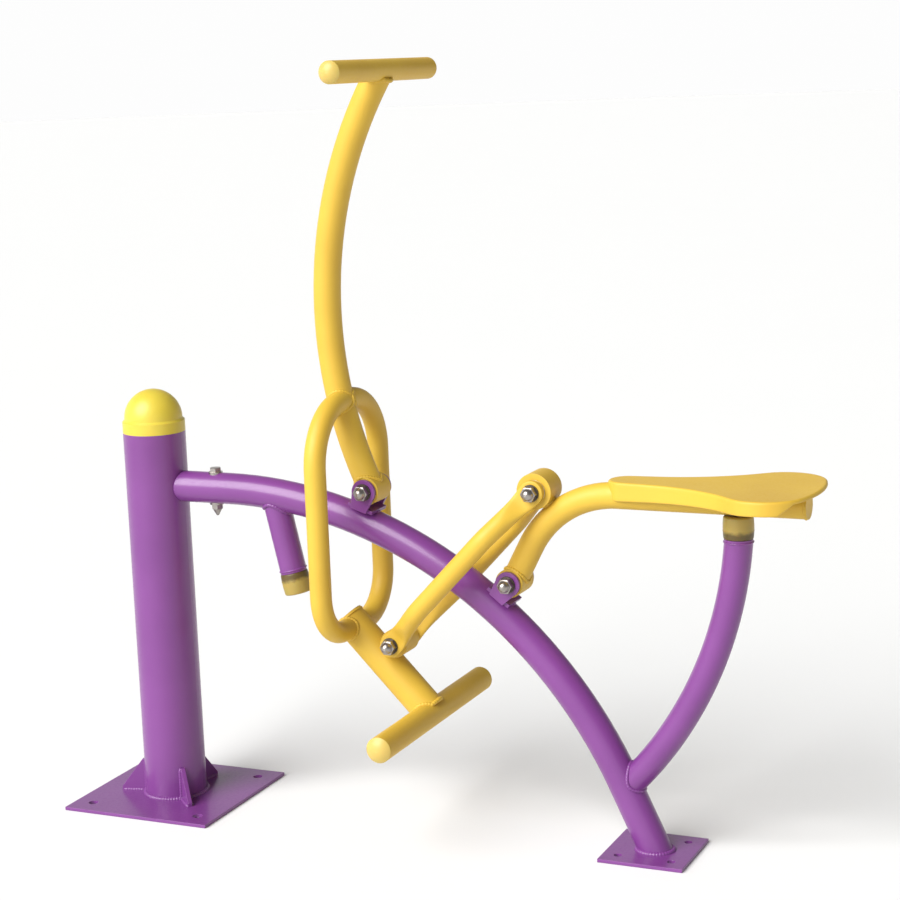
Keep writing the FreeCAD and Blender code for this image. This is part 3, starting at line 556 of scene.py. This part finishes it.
class STATION_OT_painted_levers(bpy.types.Operator):
    """Paints the handle lever, the link and the seat lever"""
    bl_idname = "station.painted_levers"
    bl_label = "Painted levers"

    def execute(self, context):
        dress(finish_of("yellow_powder_coat"), [
            "handle_tube", "handlebar", "left_loop_arm", "right_loop_arm", "handle_hub", "foot_stem",
            "foot_stem_cap", "foot_bar", "stem_link_hub", "left_link_rod", "right_link_rod", "link_eyes",
            "seat_lever_tube", "seat_hub", "seat_link_hub", "seat", "seat_mount_plates",
            "seat_tube_end_cap"])
        return {"FINISHED"}


class STATION_OT_caps(bpy.types.Operator):
    """Colours the plastic caps of the column and the bars"""
    bl_idname = "station.caps"
    bl_label = "Plastic caps"

    def execute(self, context):
        dress(finish_of("lemon_polypropylene"), ["column_cap"])
        dress(finish_of("pale_yellow_polypropylene"), ["handlebar_end_caps", "foot_bar_end_caps"])
        return {"FINISHED"}


class STATION_OT_fasteners(bpy.types.Operator):
    """Plates the bolts, nuts, washers and screws, and finishes the bearings"""
    bl_idname = "station.fasteners"
    bl_label = "Fasteners and bearings"

    def execute(self, context):
        dress(finish_of("zinc_plated_steel"), [
            "clamp_bolt", "clamp_nut", "clamp_washers", "buffer_screws", "handle_pivot_bolt",
            "handle_pivot_nut", "seat_pivot_bolt", "seat_pivot_nut", "link_bolts", "link_nuts",
            "seat_screws"])
        # The washers take the darker zinc as painted shade, for the dark ring of shade round the nuts
        dress(finish_of("shade_painted_zinc_steel"), [
            "handle_pivot_washers", "seat_pivot_washers", "link_washers"])
        dress(finish_of("ground_bearing_steel"), [
            "handle_hub_bearings", "stem_link_bearings", "seat_hub_bearings"])
        dress(finish_of("natural_nylon"), [
            "handle_thrust_washers", "seat_thrust_washers", "link_thrust_washers", "seat_link_bushes"])
        return {"FINISHED"}


# Sizes of the tubes, hubs and plates, as the solids have them
COLUMN_RADIUS = 0.057
FRAME_RADIUS = 0.0285
FRAME_BEND = 0.8246
SPIGOT_RADIUS = 0.0247
STRUT_RADIUS = 0.024
STRUT_BEND = 0.707
STOP_LENGTH = 0.140
END_PLATE = 0.005
PLATE_TOP = 0.006
HANDLE_RADIUS = 0.024
HANDLE_BEND = 0.747
HANDLEBAR_RADIUS = 0.019
HUB_RADIUS = 0.025
LOOP_RADIUS = 0.019
LOOP_BEND = 0.105
STEM_RADIUS = 0.030
FOOT_BAR_RADIUS = 0.0225
LEVER_RADIUS = 0.0225
LEVER_BEND = 0.178
LINK_HUB_RADIUS = 0.031

# Angles above +X, in degrees: each lever's at its pivot, and the seat lever's link hub on its bend
HANDLE_LEAN = 25
LEVER_LEAN = 62.5
LINK_HUB_TURN = 127.5

# Where the tubes run, as the solids have them
BEND_CENTRE = plane_point(151.5, -228.9)
BEND_END = BEND_CENTRE + heading(25.2) * FRAME_BEND
LEG_WAY = heading(-64.8)
SPIGOT_ROOT = plane_point(28.5, 595.7)
HANDLE_PIVOT = plane_point(440.3765, 609.5827)
SEAT_PIVOT = plane_point(707.2036, 462.2559)
LOW_LINK_PIVOT = plane_point(483.2698, 337.4150)
HIGH_LINK_PIVOT = plane_point(757.8385, 625.4713)
HANDLE_CENTRE = HANDLE_PIVOT + heading(HANDLE_LEAN) * HANDLE_BEND
HANDLEBAR = plane_point(491.2567, 1332.6705)
STEM_TOP = plane_point(381, 373.5)
STEM_WAY = heading(-46)
STEM_UP = heading(44)
STEM_HUB = STEM_TOP + STEM_WAY * 0.097
FOOT_BAR = plane_point(540.7961, 209.4658)
LEVER_CENTRE = plane_point(897.8536, 443)
SEAT_TUBE_Z = 0.621
SEAT_TUBE_END = np.array([1.220, 0.0, SEAT_TUBE_Z])
LOOP_TOP = np.array([0.395, 0.018, 0.661])
LOOP_FOOT = plane_point(395, 359)
STRUT_HEAD = plane_point(1106, 555)
STRUT_CENTRE = STRUT_HEAD - heading(-4.45) * STRUT_BEND
STOP_WAY = heading(-77.5)
STOP_ROOT = plane_point(245, 590.38)

# The gussets' turns about the column, half thickness, start, end and height
GUSSET_TURNS = (-45, 75, 195)
GUSSET_HALF = 0.0042
GUSSET_START = 0.058
GUSSET_END = 0.104
GUSSET_RISE = 0.060

# The pivot brackets' turns about the frame's bend, their half length as a turn, their half width, and how
# high the beads of their sides and ends lie over the tube's middle line
BRACKET_TURNS = (90 - 19.01, 90 - 38.8)
BRACKET_REACH = 0.028
BRACKET_HALF = 0.010
BRACKET_SIDE = 0.0262
BRACKET_END = 0.028

# How far the link hubs' axes lie off those of the tubes that carry them
STEM_HUB_APART = 0.0485
LEVER_HUB_APART = 0.052

# The saddle's mount plates: their places along the tube, half length, half width and their beads' height
MOUNT_PLACES = (1.016, 1.156)
MOUNT_REACH = 0.014
MOUNT_HALF = 0.0125
MOUNT_BEAD_Z = 0.6397

# How far a bead's line lies within the skin of its tube, so that no gap shows
BITE = 0.0002


def off_frame_tube(points):
    """How far points lie outside the frame tube: off its bend, or off its leg after the bend's end."""
    after = (points - BEND_END) @ LEG_WAY > 0
    off_leg = off_straight(BEND_END, LEG_WAY, FRAME_RADIUS)(points)
    return np.where(after, off_leg, off_bend(BEND_CENTRE, FRAME_BEND, FRAME_RADIUS)(points))


def off_plate(height):
    """How far points lie above a level plate."""
    def off(points):
        return points[:, 2] - height
    return off


class STATION_OT_frame_welds(bpy.types.Operator):
    """Lays the weld beads of the fixed frame"""
    bl_idname = "station.frame_welds"
    bl_label = "Frame welds"

    def execute(self, context):
        shapes = context.scene.station_shapes
        size = shapes.bead_radius
        pitch = shapes.bead_pitch
        leg = straight_skin(BEND_END, LEG_WAY, FRAME_RADIUS)
        strut = bent_skin(STRUT_CENTRE, STRUT_BEND, STRUT_RADIUS, AXIS_X, -AXIS_Z)
        stop = straight_skin(STOP_ROOT, STOP_WAY, STRUT_RADIUS)
        spigot = straight_skin(SPIGOT_ROOT, AXIS_X, SPIGOT_RADIUS)
        column = off_straight(np.zeros(3), AXIS_Z, COLUMN_RADIUS)
        stop_end = STOP_ROOT + STOP_WAY * STOP_LENGTH
        closed = [
            (circle_line(AXIS_Z * PLATE_TOP, AXIS_Z, COLUMN_RADIUS), size * 1.5),
            (seam(leg, off_plate(PLATE_TOP), inner=0.17, outer=0.08), size * 1.3),
            (seam(strut, off_frame_tube, inner=np.radians(44.82), outer=np.radians(36)), size),
            (seam(stop, off_frame_tube, inner=0.0, outer=0.08), size),
            (seam(spigot, column, inner=0.0, outer=0.06), size * 0.8),
            (circle_line(STRUT_HEAD, AXIS_Z, STRUT_RADIUS - BITE), size * 0.5),
            (circle_line(stop_end, STOP_WAY, STRUT_RADIUS - BITE), size * 0.5),
        ]
        opened = []
        for turn in np.radians(GUSSET_TURNS):
            out = np.array([np.cos(turn), np.sin(turn), 0.0])
            for side in (-GUSSET_HALF, GUSSET_HALF):
                foot = np.cross(AXIS_Z, out) * side + AXIS_Z * PLATE_TOP
                root = foot + out * (COLUMN_RADIUS - BITE)
                opened.append((straight_line(foot + out * GUSSET_START, foot + out * GUSSET_END), size))
                opened.append((straight_line(root, root + AXIS_Z * GUSSET_RISE), size))
        for degrees in BRACKET_TURNS:
            turn = np.radians(degrees) + np.linspace(-BRACKET_REACH, BRACKET_REACH, 60)
            spoke = np.stack([np.cos(turn), np.zeros(60), np.sin(turn)], axis=1)
            flank = BEND_CENTRE + spoke * (FRAME_BEND + BRACKET_SIDE)
            crown = BEND_CENTRE + spoke * (FRAME_BEND + BRACKET_END)
            half = AXIS_Y * (BRACKET_HALF - 0.0015)
            for side in (-1, 1):
                opened.append((flank + AXIS_Y * (side * BRACKET_HALF), size))
            for end in (crown[0], crown[-1]):
                opened.append((straight_line(end - half, end + half), size * 0.8))
        beads = lay_beads(closed, opened, pitch)
        add_piece("frame_weld_beads", beads, finish_of("purple_powder_coat"), "frame")
        return {"FINISHED"}


class STATION_OT_lever_welds(bpy.types.Operator):
    """Lays the weld beads of the handle lever and the seat lever"""
    bl_idname = "station.lever_welds"
    bl_label = "Lever welds"

    def execute(self, context):
        shapes = context.scene.station_shapes
        size = shapes.bead_radius
        pitch = shapes.bead_pitch
        paint = finish_of("yellow_powder_coat")
        handle = bent_skin(HANDLE_CENTRE, HANDLE_BEND, HANDLE_RADIUS - BITE, -heading(HANDLE_LEAN),
                           heading(HANDLE_LEAN + 90))
        stem = straight_skin(STEM_TOP, STEM_WAY, STEM_RADIUS - 2 * BITE)
        off_hub = off_straight(HANDLE_PIVOT, AXIS_Y, HUB_RADIUS)
        off_handlebar = off_straight(HANDLEBAR, AXIS_Y, HANDLEBAR_RADIUS)
        off_foot_bar = off_straight(FOOT_BAR, AXIS_Y, FOOT_BAR_RADIUS)
        off_handle = off_bend(HANDLE_CENTRE, HANDLE_BEND, HANDLE_RADIUS)
        off_stem = off_straight(STEM_TOP, STEM_WAY, STEM_RADIUS)
        closed = [
            (seam(handle, off_hub, inner=0.0, outer=0.08), size),
            (seam(handle, off_handlebar, inner=np.radians(57.55), outer=np.radians(53)), size * 1.1),
            (seam(stem, off_foot_bar, inner=0.2205, outer=0.16), size * 1.1),
            (circle_line(STEM_TOP + STEM_WAY * 0.004, STEM_WAY, STEM_RADIUS - BITE), size * 0.5),
            (hub_line(STEM_HUB, STEM_WAY, STEM_UP, STEM_RADIUS, HUB_RADIUS, STEM_HUB_APART), size),
        ]
        for side in (-1, 1):
            bend = LOOP_TOP * (1, side, 1)
            arm_top = bent_skin(bend, LOOP_BEND, LOOP_RADIUS, AXIS_Z, AXIS_Y * side)
            arm_foot = straight_skin(LOOP_FOOT, AXIS_Y * side, LOOP_RADIUS)
            closed.append((seam(arm_top, off_handle, inner=-0.14, outer=0.5), size * 0.9))
            closed.append((seam(arm_foot, off_stem, inner=0.0, outer=0.06), size * 0.9))
        add_piece("handle_weld_beads", lay_beads(closed, [], pitch), paint, "handle_lever")

        lever = straight_skin(SEAT_PIVOT, heading(LEVER_LEAN), LEVER_RADIUS)
        off_hub = off_straight(SEAT_PIVOT, AXIS_Y, HUB_RADIUS)
        up = heading(LINK_HUB_TURN)
        along = heading(LINK_HUB_TURN - 90)
        back = LEVER_CENTRE + up * LEVER_BEND
        closed = [
            (seam(lever, off_hub, inner=0.0, outer=0.08), size),
            (hub_line(back, along, up, LEVER_RADIUS, LINK_HUB_RADIUS, LEVER_HUB_APART), size * 1.5),
            (circle_line(SEAT_TUBE_END, AXIS_X, LEVER_RADIUS - BITE), size * 0.5),
        ]
        opened = []
        run = AXIS_X * MOUNT_REACH
        for x in MOUNT_PLACES:
            for side in (-1, 1):
                middle = np.array([x, side * MOUNT_HALF, MOUNT_BEAD_Z])
                opened.append((straight_line(middle - run, middle + run), size * 0.8))
        beads = lay_beads(closed, opened, pitch)
        add_piece("seat_weld_beads", beads, paint, "seat_lever")
        return {"FINISHED"}


def eased_step(value, low, high):
    """0 below low, 1 above high, and the cubic 3 t squared less 2 t cubed between them."""
    share = np.clip((value - low) / (high - low), 0, 1)
    return share * share * (3 - 2 * share)


# The link's arms: how far they lie off the middle at their eyes and between them, where and at which angle
# in degrees they flare, the radius and half thickness of an eye, and the radius of the round tube
EYE_OUT = 0.0345
ARM_OUT = 0.080
FLARE_START = 0.024
FLARE_ANGLE = 30
EYE_RADIUS = 0.021
EYE_HALF = 0.006
ARM_RADIUS = 0.017
ARM_SIDES = 48


def link_arm(side):
    """A round tube, bowed out and pressed flat into an eye at either end: a section carried along a path.

    In the link's own plane the path leaves each eye, flares out and runs straight. A window 50 mm long
    smooths its corners. The section is a superellipse. Its half width is the root of the eye's radius
    squared less the run squared beyond the pivot, and eases from the eye's radius to the tube's behind it.
    Its half thickness eases from the eye's to the tube's radius, and its power from 6 at the eye to 2 on
    the round tube.
    """
    link = HIGH_LINK_PIVOT - LOW_LINK_PIVOT
    length = np.linalg.norm(link)
    along = link / length
    wide = np.cross(along, AXIS_Y)
    flare_end = FLARE_START + (ARM_OUT - EYE_OUT) / np.tan(np.radians(FLARE_ANGLE))
    corners = np.array([FLARE_START, flare_end, length - flare_end, length - FLARE_START])
    outs = np.array([EYE_OUT, ARM_OUT, ARM_OUT, EYE_OUT])
    fine = np.arange(-0.1, length + 0.1, 0.0005)
    window = np.hanning(101)
    smooth = np.convolve(np.interp(fine, corners, outs), window / window.sum(), "same")
    tip = EYE_RADIUS * np.cos(np.linspace(0, np.pi / 2, 15))
    run = np.concatenate([-tip, np.linspace(0, length, 160)[1:-1], length + tip[::-1]])
    out = np.interp(run, fine, smooth)
    slope = np.interp(run, fine, np.gradient(smooth, fine))
    ahead = (along + slope[:, None] * AXIS_Y * side) / np.hypot(1, slope)[:, None]
    thick = np.cross(ahead, wide)
    near = np.minimum(run, length - run)
    behind = EYE_RADIUS - (EYE_RADIUS - ARM_RADIUS) * eased_step(near, 0.0, 0.05)
    beyond = np.sqrt(np.maximum(0, EYE_RADIUS ** 2 - near ** 2))
    half_width = np.where(near < 0, beyond, behind)
    half_thick = EYE_HALF + (ARM_RADIUS - EYE_HALF) * eased_step(near, 0.022, 0.075)
    power = 2 / (6 - 4 * eased_step(near, 0.01, 0.07))
    turn = np.linspace(0, 2 * np.pi, ARM_SIDES, endpoint=False)
    cosine = np.sign(np.cos(turn)) * np.abs(np.cos(turn))[None, :] ** power[:, None]
    sine = np.sign(np.sin(turn)) * np.abs(np.sin(turn))[None, :] ** power[:, None]
    path = LOW_LINK_PIVOT + run[:, None] * along + (side * out)[:, None] * AXIS_Y
    points = path[:, None, :] + (half_width[:, None] * cosine)[:, :, None] * wide
    points = points + (half_thick[:, None] * sine)[:, :, None] * thick[:, None, :]
    return points.reshape(-1, 3), grid_faces(len(run), ARM_SIDES, False, True)


class STATION_OT_link_arms(bpy.types.Operator):
    """Makes the link's two arms from tube that is pressed flat at its ends"""
    bl_idname = "station.link_arms"
    bl_label = "Link arms"

    def execute(self, context):
        paint = finish_of("yellow_powder_coat")
        left = add_piece("left_link_arm", [link_arm(-1)], paint, "link")
        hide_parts("left_link_rod")
        right = add_piece("right_link_arm", [link_arm(1)], paint, "link")
        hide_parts("right_link_rod", "link_eyes")
        return {"FINISHED"}


def arc_points(centre, radius, first, last, count):
    """Points of an arc in plan, from a first to a last angle, without its end."""
    angle = np.linspace(first, last, count, endpoint=False)
    return np.stack([centre[0] + radius * np.cos(angle), centre[1] + radius * np.sin(angle)], axis=1)


# The saddle: where its nose and tail end, its nose's half width, the slope in degrees and the length of its
# side there, the centre and radius of a lobe in plan, its top, its wall, the soft corner inside and the
# room over the seat tube
NOSE_X = 0.884
TAIL_X = 1.246
NOSE_HALF = 0.029
NOSE_SLOPE = 6
NOSE_LINE = 0.050
LOBE = np.array([1.168, 0.056])
LOBE_RADIUS = 0.070
SADDLE_TOP = 0.6495
SADDLE_WALL = 0.0045
INNER_ROUND = 0.003
TUBE_ROOM = 0.023

# How deep the saddle's skirt is, at distances along it
SKIRT_X = (NOSE_X, 1.168, 1.204, 1.226)
SKIRT_DEPTH = (0.033, 0.024, 0.024, 0.0065)


def saddle_ring(inset):
    """The saddle's plan, drawn in by an inset: nose arc, line, hollow, lobe and tail, then their mirror.

    The line leaves the nose's arc at its slope, and each arc after it touches the one before.
    """
    slope = np.radians(NOSE_SLOPE)
    way = np.array([np.cos(slope), np.sin(slope)])
    out = np.array([-np.sin(slope), np.cos(slope)])
    nose_radius = NOSE_HALF * np.cos(slope) / (1 - np.sin(slope)) - inset
    nose = np.array([NOSE_X + nose_radius + inset, 0.0])
    line_start = nose + out * nose_radius
    line_end = line_start + way * NOSE_LINE
    lobe_radius = LOBE_RADIUS - inset
    gap = LOBE - line_end
    hollow_radius = (gap.dot(gap) - lobe_radius ** 2) / (2 * (gap.dot(out) + lobe_radius))
    hollow = line_end + out * hollow_radius
    to_lobe = np.arctan2(*(LOBE - hollow)[::-1])
    back = LOBE[0] - TAIL_X + inset
    tail_radius = (lobe_radius ** 2 - back ** 2 - LOBE[1] ** 2) / (2 * (back + lobe_radius))
    tail = np.array([TAIL_X - inset - tail_radius, 0.0])
    to_tail = np.arctan2(*(LOBE - tail)[::-1])
    share = np.linspace(0, 1, 12, endpoint=False)[:, None]
    half = np.concatenate([
        arc_points(nose, nose_radius, np.pi, np.pi / 2 + slope, 20),
        line_start * (1 - share) + line_end * share,
        arc_points(hollow, hollow_radius, slope - np.pi / 2, to_lobe, 28),
        arc_points(LOBE, lobe_radius, to_lobe + np.pi, to_tail, 40),
        arc_points(tail, tail_radius, to_tail, 0.0, 24),
        [[TAIL_X - inset, 0.0]],
    ])
    return np.concatenate([half, half[-2:0:-1] * [1, -1]])


def saddle_shell(edge, dish):
    """The saddle as a closed shell: rings of its plan, carried over its section.

    The section runs from the middle line out over the top, round the upper edge, down the skirt, round its
    lip, up inside and back under the top. The wide part of the top sinks by the dish in its middle, less
    the square of the way out. The skirt is deep at the nose and shallow round the tail, with straight
    slopes between, and at the nose its lip rises over the seat tube, to the tube's height plus the root of
    the room's radius squared less y squared.
    """
    top = SADDLE_TOP
    wall = SADDLE_WALL
    under = top - wall
    outer = saddle_ring(0.0)
    inner = saddle_ring(wall)
    lip = top - np.interp(outer[:, 0], SKIRT_X, SKIRT_DEPTH)
    arch = np.sqrt(np.maximum(0, TUBE_ROOM ** 2 - inner[:, 1] ** 2))
    over_tube = (arch > 0) & (inner[:, 0] < 1.1)
    lip = np.where(over_tube, np.maximum(lip, SEAT_TUBE_Z + arch), lip)
    lip_round = np.clip(np.minimum(top - edge, under - 0.0005) - lip, 0.0004, wall / 2)
    sink = dish * eased_step(outer[:, 0], 0.95, 1.12)

    def spread(ring, share):
        spine = np.stack([np.clip(ring[:, 0], 0.915, 1.2), np.zeros(len(ring))], axis=1)
        return ring * (1 - share) + spine * share

    rows = []
    shares = np.linspace(1, 0, 16)
    edge_ring = saddle_ring(edge)
    for share in shares:
        rows.append((spread(edge_ring, share), top - sink * (1 - (1 - share) ** 2)))
    for angle in np.linspace(0, np.pi / 2, 8)[1:]:
        height = np.full(len(outer), top - edge * (1 - np.cos(angle)))
        rows.append((saddle_ring(edge * (1 - np.sin(angle))), height))
    for share in np.linspace(0, 1, 6)[1:]:
        rows.append((outer, (top - edge) * (1 - share) + (lip + lip_round) * share))
    for angle in np.linspace(0, np.pi, 9)[1:]:
        rows.append((saddle_ring(wall / 2 * (1 - np.cos(angle))), lip + lip_round * (1 - np.sin(angle))))
    soft = np.clip(under - lip - lip_round, 0.0003, INNER_ROUND)
    for angle in np.linspace(0, np.pi / 2, 6):
        ring = saddle_ring(wall + INNER_ROUND * (1 - np.cos(angle)))
        rows.append((ring, under - soft * (1 - np.sin(angle))))
    under_ring = saddle_ring(wall + INNER_ROUND)
    for share in shares[::-1][1:]:
        rows.append((spread(under_ring, share), np.full(len(outer), under)))
    points = np.stack([np.column_stack([plan, height]) for plan, height in rows])
    return points.reshape(-1, 3), grid_faces(len(rows), len(outer), False, True)


class STATION_OT_saddle(bpy.types.Operator):
    """Makes the saddle's pressed shell"""
    bl_idname = "station.saddle"
    bl_label = "Saddle"

    def execute(self, context):
        shapes = context.scene.station_shapes
        shell = saddle_shell(shapes.saddle_round, shapes.saddle_dish)
        paint = finish_of("yellow_powder_coat")
        piece = add_piece("saddle_shell", [shell], paint, "seat_lever")
        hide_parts("seat")
        return {"FINISHED"}


# The buffers: their radius and round edge, and the radius, depth and round edge of the well for the screw
BUFFER_RADIUS = 0.025
BUFFER_EDGE = 0.003
BUFFER_SIDES = 64
WELL_RADIUS = 0.010
WELL_DEPTH = 0.014
WELL_EDGE = 0.0015


def buffer_shape(foot, axis, height, belly):
    """A cast buffer: a profile turned round an axis.

    Its side swells by the belly times the sine of pi times the height's share, its edges are quarter
    rounds, a fine moulding ridge runs round it a third of the way up, and a round well in its top holds the
    screw.
    """
    radius = BUFFER_RADIUS
    edge = BUFFER_EDGE
    quarter = np.linspace(0, np.pi / 2, 7)
    share = np.linspace(0, 1, 41)[1:-1]
    level = edge + (height - 2 * edge) * share
    ridge = 0.0004 * np.exp(-((share - 0.34) / 0.03) ** 2)
    side = radius + belly * np.sin(np.pi * share) + ridge
    reach = np.concatenate([
        [0.0, 0.012], radius - edge + edge * np.sin(quarter), side, radius - edge + edge * np.cos(quarter),
        WELL_RADIUS + WELL_EDGE * (1 - np.sin(quarter)), [WELL_RADIUS, 0.0]])
    stand = np.concatenate([
        [0.0, 0.0], edge - edge * np.cos(quarter), level, height - edge + edge * np.sin(quarter),
        height - WELL_EDGE * (1 - np.cos(quarter)), [height - WELL_DEPTH, height - WELL_DEPTH]])
    turn = np.linspace(0, 2 * np.pi, BUFFER_SIDES, endpoint=False)
    one, two = across(axis)
    circle = np.cos(turn)[:, None] * one + np.sin(turn)[:, None] * two
    points = foot + stand[:, None, None] * axis + reach[:, None, None] * circle[None, :, :]
    return points.reshape(-1, 3), grid_faces(len(reach), BUFFER_SIDES, False, True)


class STATION_OT_buffers(bpy.types.Operator):
    """Makes the two cast buffers"""
    bl_idname = "station.buffers"
    bl_label = "Buffers"

    def execute(self, context):
        belly = context.scene.station_shapes.buffer_belly
        rubber = finish_of("amber_polyurethane")
        strut_foot = STRUT_HEAD + AXIS_Z * END_PLATE
        stop_foot = STOP_ROOT + STOP_WAY * (STOP_LENGTH + END_PLATE)
        buffers = (
            ("rear_cast_buffer", "rear_buffer", strut_foot, AXIS_Z, 0.038),
            ("front_cast_buffer", "front_buffer", stop_foot, STOP_WAY, 0.039),
        )
        for name, node, foot, axis, height in buffers:
            shape = buffer_shape(foot, axis, height, belly)
            piece = add_piece(name, [shape], rubber, "frame")
            points = np.zeros(len(piece.data.vertices) * 3)
            piece.data.vertices.foreach_get("co", points)
            rise = (points.reshape(-1, 3) - foot) @ axis / height
            piece.data.attributes.new("rise", "FLOAT", "POINT").data.foreach_set("value", rise)
            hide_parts(node)
        return {"FINISHED"}


# The camera's place and its axes, fitted to the object's outline
CAMERA_PLACE = (2.0735, -3.2521, 1.3477)
CAMERA_RIGHT = np.array([0.91244, 0.40757, -0.03653])
CAMERA_UP = np.array([-0.04160, 0.18120, 0.98257])
CAMERA_BACK = np.array([0.40708, -0.89502, 0.18228])
SENSOR_WIDTH = 36.0

# The studio: the way to the key light and its breadth in degrees, the way to the shaded wall, and the
# floor, which lies just under the plates, with its rings and the number of its spokes
KEY_WAY = -0.62 * CAMERA_RIGHT + 0.5 * CAMERA_UP + 0.6 * CAMERA_BACK
KEY_BREADTH = 50
SHADE_WAY = (0.908, 0.417, 0.0)
FLOOR_Z = -0.0004
FLOOR_RINGS = (0.0, 2.0, 8.0, 60.0)
FLOOR_SPOKES = 96


class STATION_OT_stage(bpy.types.Operator):
    """Adds the floor, the lights and the camera"""
    bl_idname = "station.stage"
    bl_label = "Studio"

    def execute(self, context):
        stage = context.scene.station_stage
        spokes = np.linspace(0, 2 * np.pi, FLOOR_SPOKES, endpoint=False)
        angle, reach = np.meshgrid(spokes, FLOOR_RINGS)
        level = np.full(angle.shape, FLOOR_Z)
        points = np.stack([reach * np.cos(angle), reach * np.sin(angle), level], axis=-1)
        mesh = bpy.data.meshes.new("studio_floor")
        quads = grid_faces(len(FLOOR_RINGS), FLOOR_SPOKES, False, True)[:, ::-1]
        mesh.from_pydata(points.reshape(-1, 3).tolist(), [], quads.tolist())
        mesh.materials.append(studio_floor("white_vinyl_sheet", stage.floor_colour))
        floor = bpy.data.objects.new("studio_floor", mesh)
        context.scene.collection.objects.link(floor)

        world = bpy.data.worlds.new("studio_room")
        context.scene.world = world
        world.use_nodes = True
        tree = world.node_tree
        way = add_node(tree, "ShaderNodeTexCoord")
        parts = add_node(tree, "ShaderNodeSeparateXYZ", links={"Vector": way.outputs["Generated"]})
        away = add_node(tree, "ShaderNodeVectorMath", {"operation": "DOT_PRODUCT"}, {1: SHADE_WAY},
                        {0: way.outputs["Generated"]})
        shade = add_node(tree, "ShaderNodeMapRange", {"interpolation_type": "SMOOTHSTEP"},
                         {"From Min": 0.1, "From Max": 0.7, "To Min": 1.0,
                          "To Max": 1.0 + stage.room_shade}, {"Value": away.outputs["Value"]})
        height = add_node(tree, "ShaderNodeMath", {"operation": "MULTIPLY"},
                          links={0: parts.outputs["Z"], 1: shade.outputs["Result"]})
        walls = add_node(tree, "ShaderNodeMapRange", {"interpolation_type": "SMOOTHSTEP"},
                         {"From Min": 0.12, "From Max": 0.6, "To Min": stage.room_low,
                          "To Max": stage.room_high}, {"Value": height.outputs["Value"]})
        seen = add_node(tree, "ShaderNodeLightPath")
        plain = add_node(tree, "ShaderNodeMix", values={"B": stage.room_low},
                         links={"Factor": seen.outputs["Is Camera Ray"], "A": walls.outputs["Result"]})
        tree.links.new(plain.outputs["Result"], tree.nodes["Background"].inputs["Strength"])
        tree.nodes["Background"].inputs["Color"].default_value = (1.0, 1.0, 1.0, 1.0)

        data = bpy.data.lights.new("key_light", "SUN")
        data.energy = stage.key_strength
        data.angle = np.radians(KEY_BREADTH)
        light = bpy.data.objects.new("key_light", data)
        aim = KEY_WAY / np.linalg.norm(KEY_WAY)
        light.matrix_world = Matrix(np.stack([*across(aim), aim], axis=1).tolist()).to_4x4()
        context.scene.collection.objects.link(light)

        data = bpy.data.cameras.new("photo_camera")
        data.lens = stage.lens
        data.sensor_width = SENSOR_WIDTH
        camera = bpy.data.objects.new("photo_camera", data)
        axes = np.stack([CAMERA_RIGHT, CAMERA_UP, CAMERA_BACK], axis=1)
        camera.matrix_world = Matrix.Translation(CAMERA_PLACE) @ Matrix(axes.tolist()).to_4x4()
        context.scene.collection.objects.link(camera)
        context.scene.camera = camera
        context.scene.view_settings.view_transform = "Standard"
        return {"FINISHED"}


STEPS = (STATION_OT_finishes, STATION_OT_painted_frame, STATION_OT_painted_levers, STATION_OT_caps,
         STATION_OT_fasteners, STATION_OT_frame_welds, STATION_OT_lever_welds, STATION_OT_link_arms,
         STATION_OT_saddle, STATION_OT_buffers, STATION_OT_stage)
GROUPS = (("station_paint", StationPaint), ("station_shapes", StationShapes),
          ("station_stage", StationStage))


class STATION_PT_panel(bpy.types.Panel):
    """Lists the colours, sizes and steps"""
    bl_idname = "STATION_PT_panel"
    bl_label = "Riding station"
    bl_space_type = "VIEW_3D"
    bl_region_type = "UI"
    bl_category = "Riding station"

    def draw(self, context):
        for name, group in GROUPS:
            box = self.layout.box()
            for key in group.__annotations__:
                box.prop(getattr(context.scene, name), key)
        for step in STEPS:
            self.layout.operator(step.bl_idname)


def register():
    """Registers the property groups, the operators and the panel."""
    for name, group in GROUPS:
        bpy.utils.register_class(group)
        setattr(bpy.types.Scene, name, bpy.props.PointerProperty(type=group))
    for step in STEPS:
        bpy.utils.register_class(step)
    bpy.utils.register_class(STATION_PT_panel)


def unregister():
    """Takes them all away again."""
    bpy.utils.unregister_class(STATION_PT_panel)
    for step in reversed(STEPS):
        bpy.utils.unregister_class(step)
    for name, group in reversed(GROUPS):
        delattr(bpy.types.Scene, name)
        bpy.utils.unregister_class(group)


def main():
    """Runs every step in order."""
    register()
    for step in STEPS:
        family, action = step.bl_idname.split(".")
        getattr(getattr(bpy.ops, family), action)()


if __name__ == "__main__":
    main()
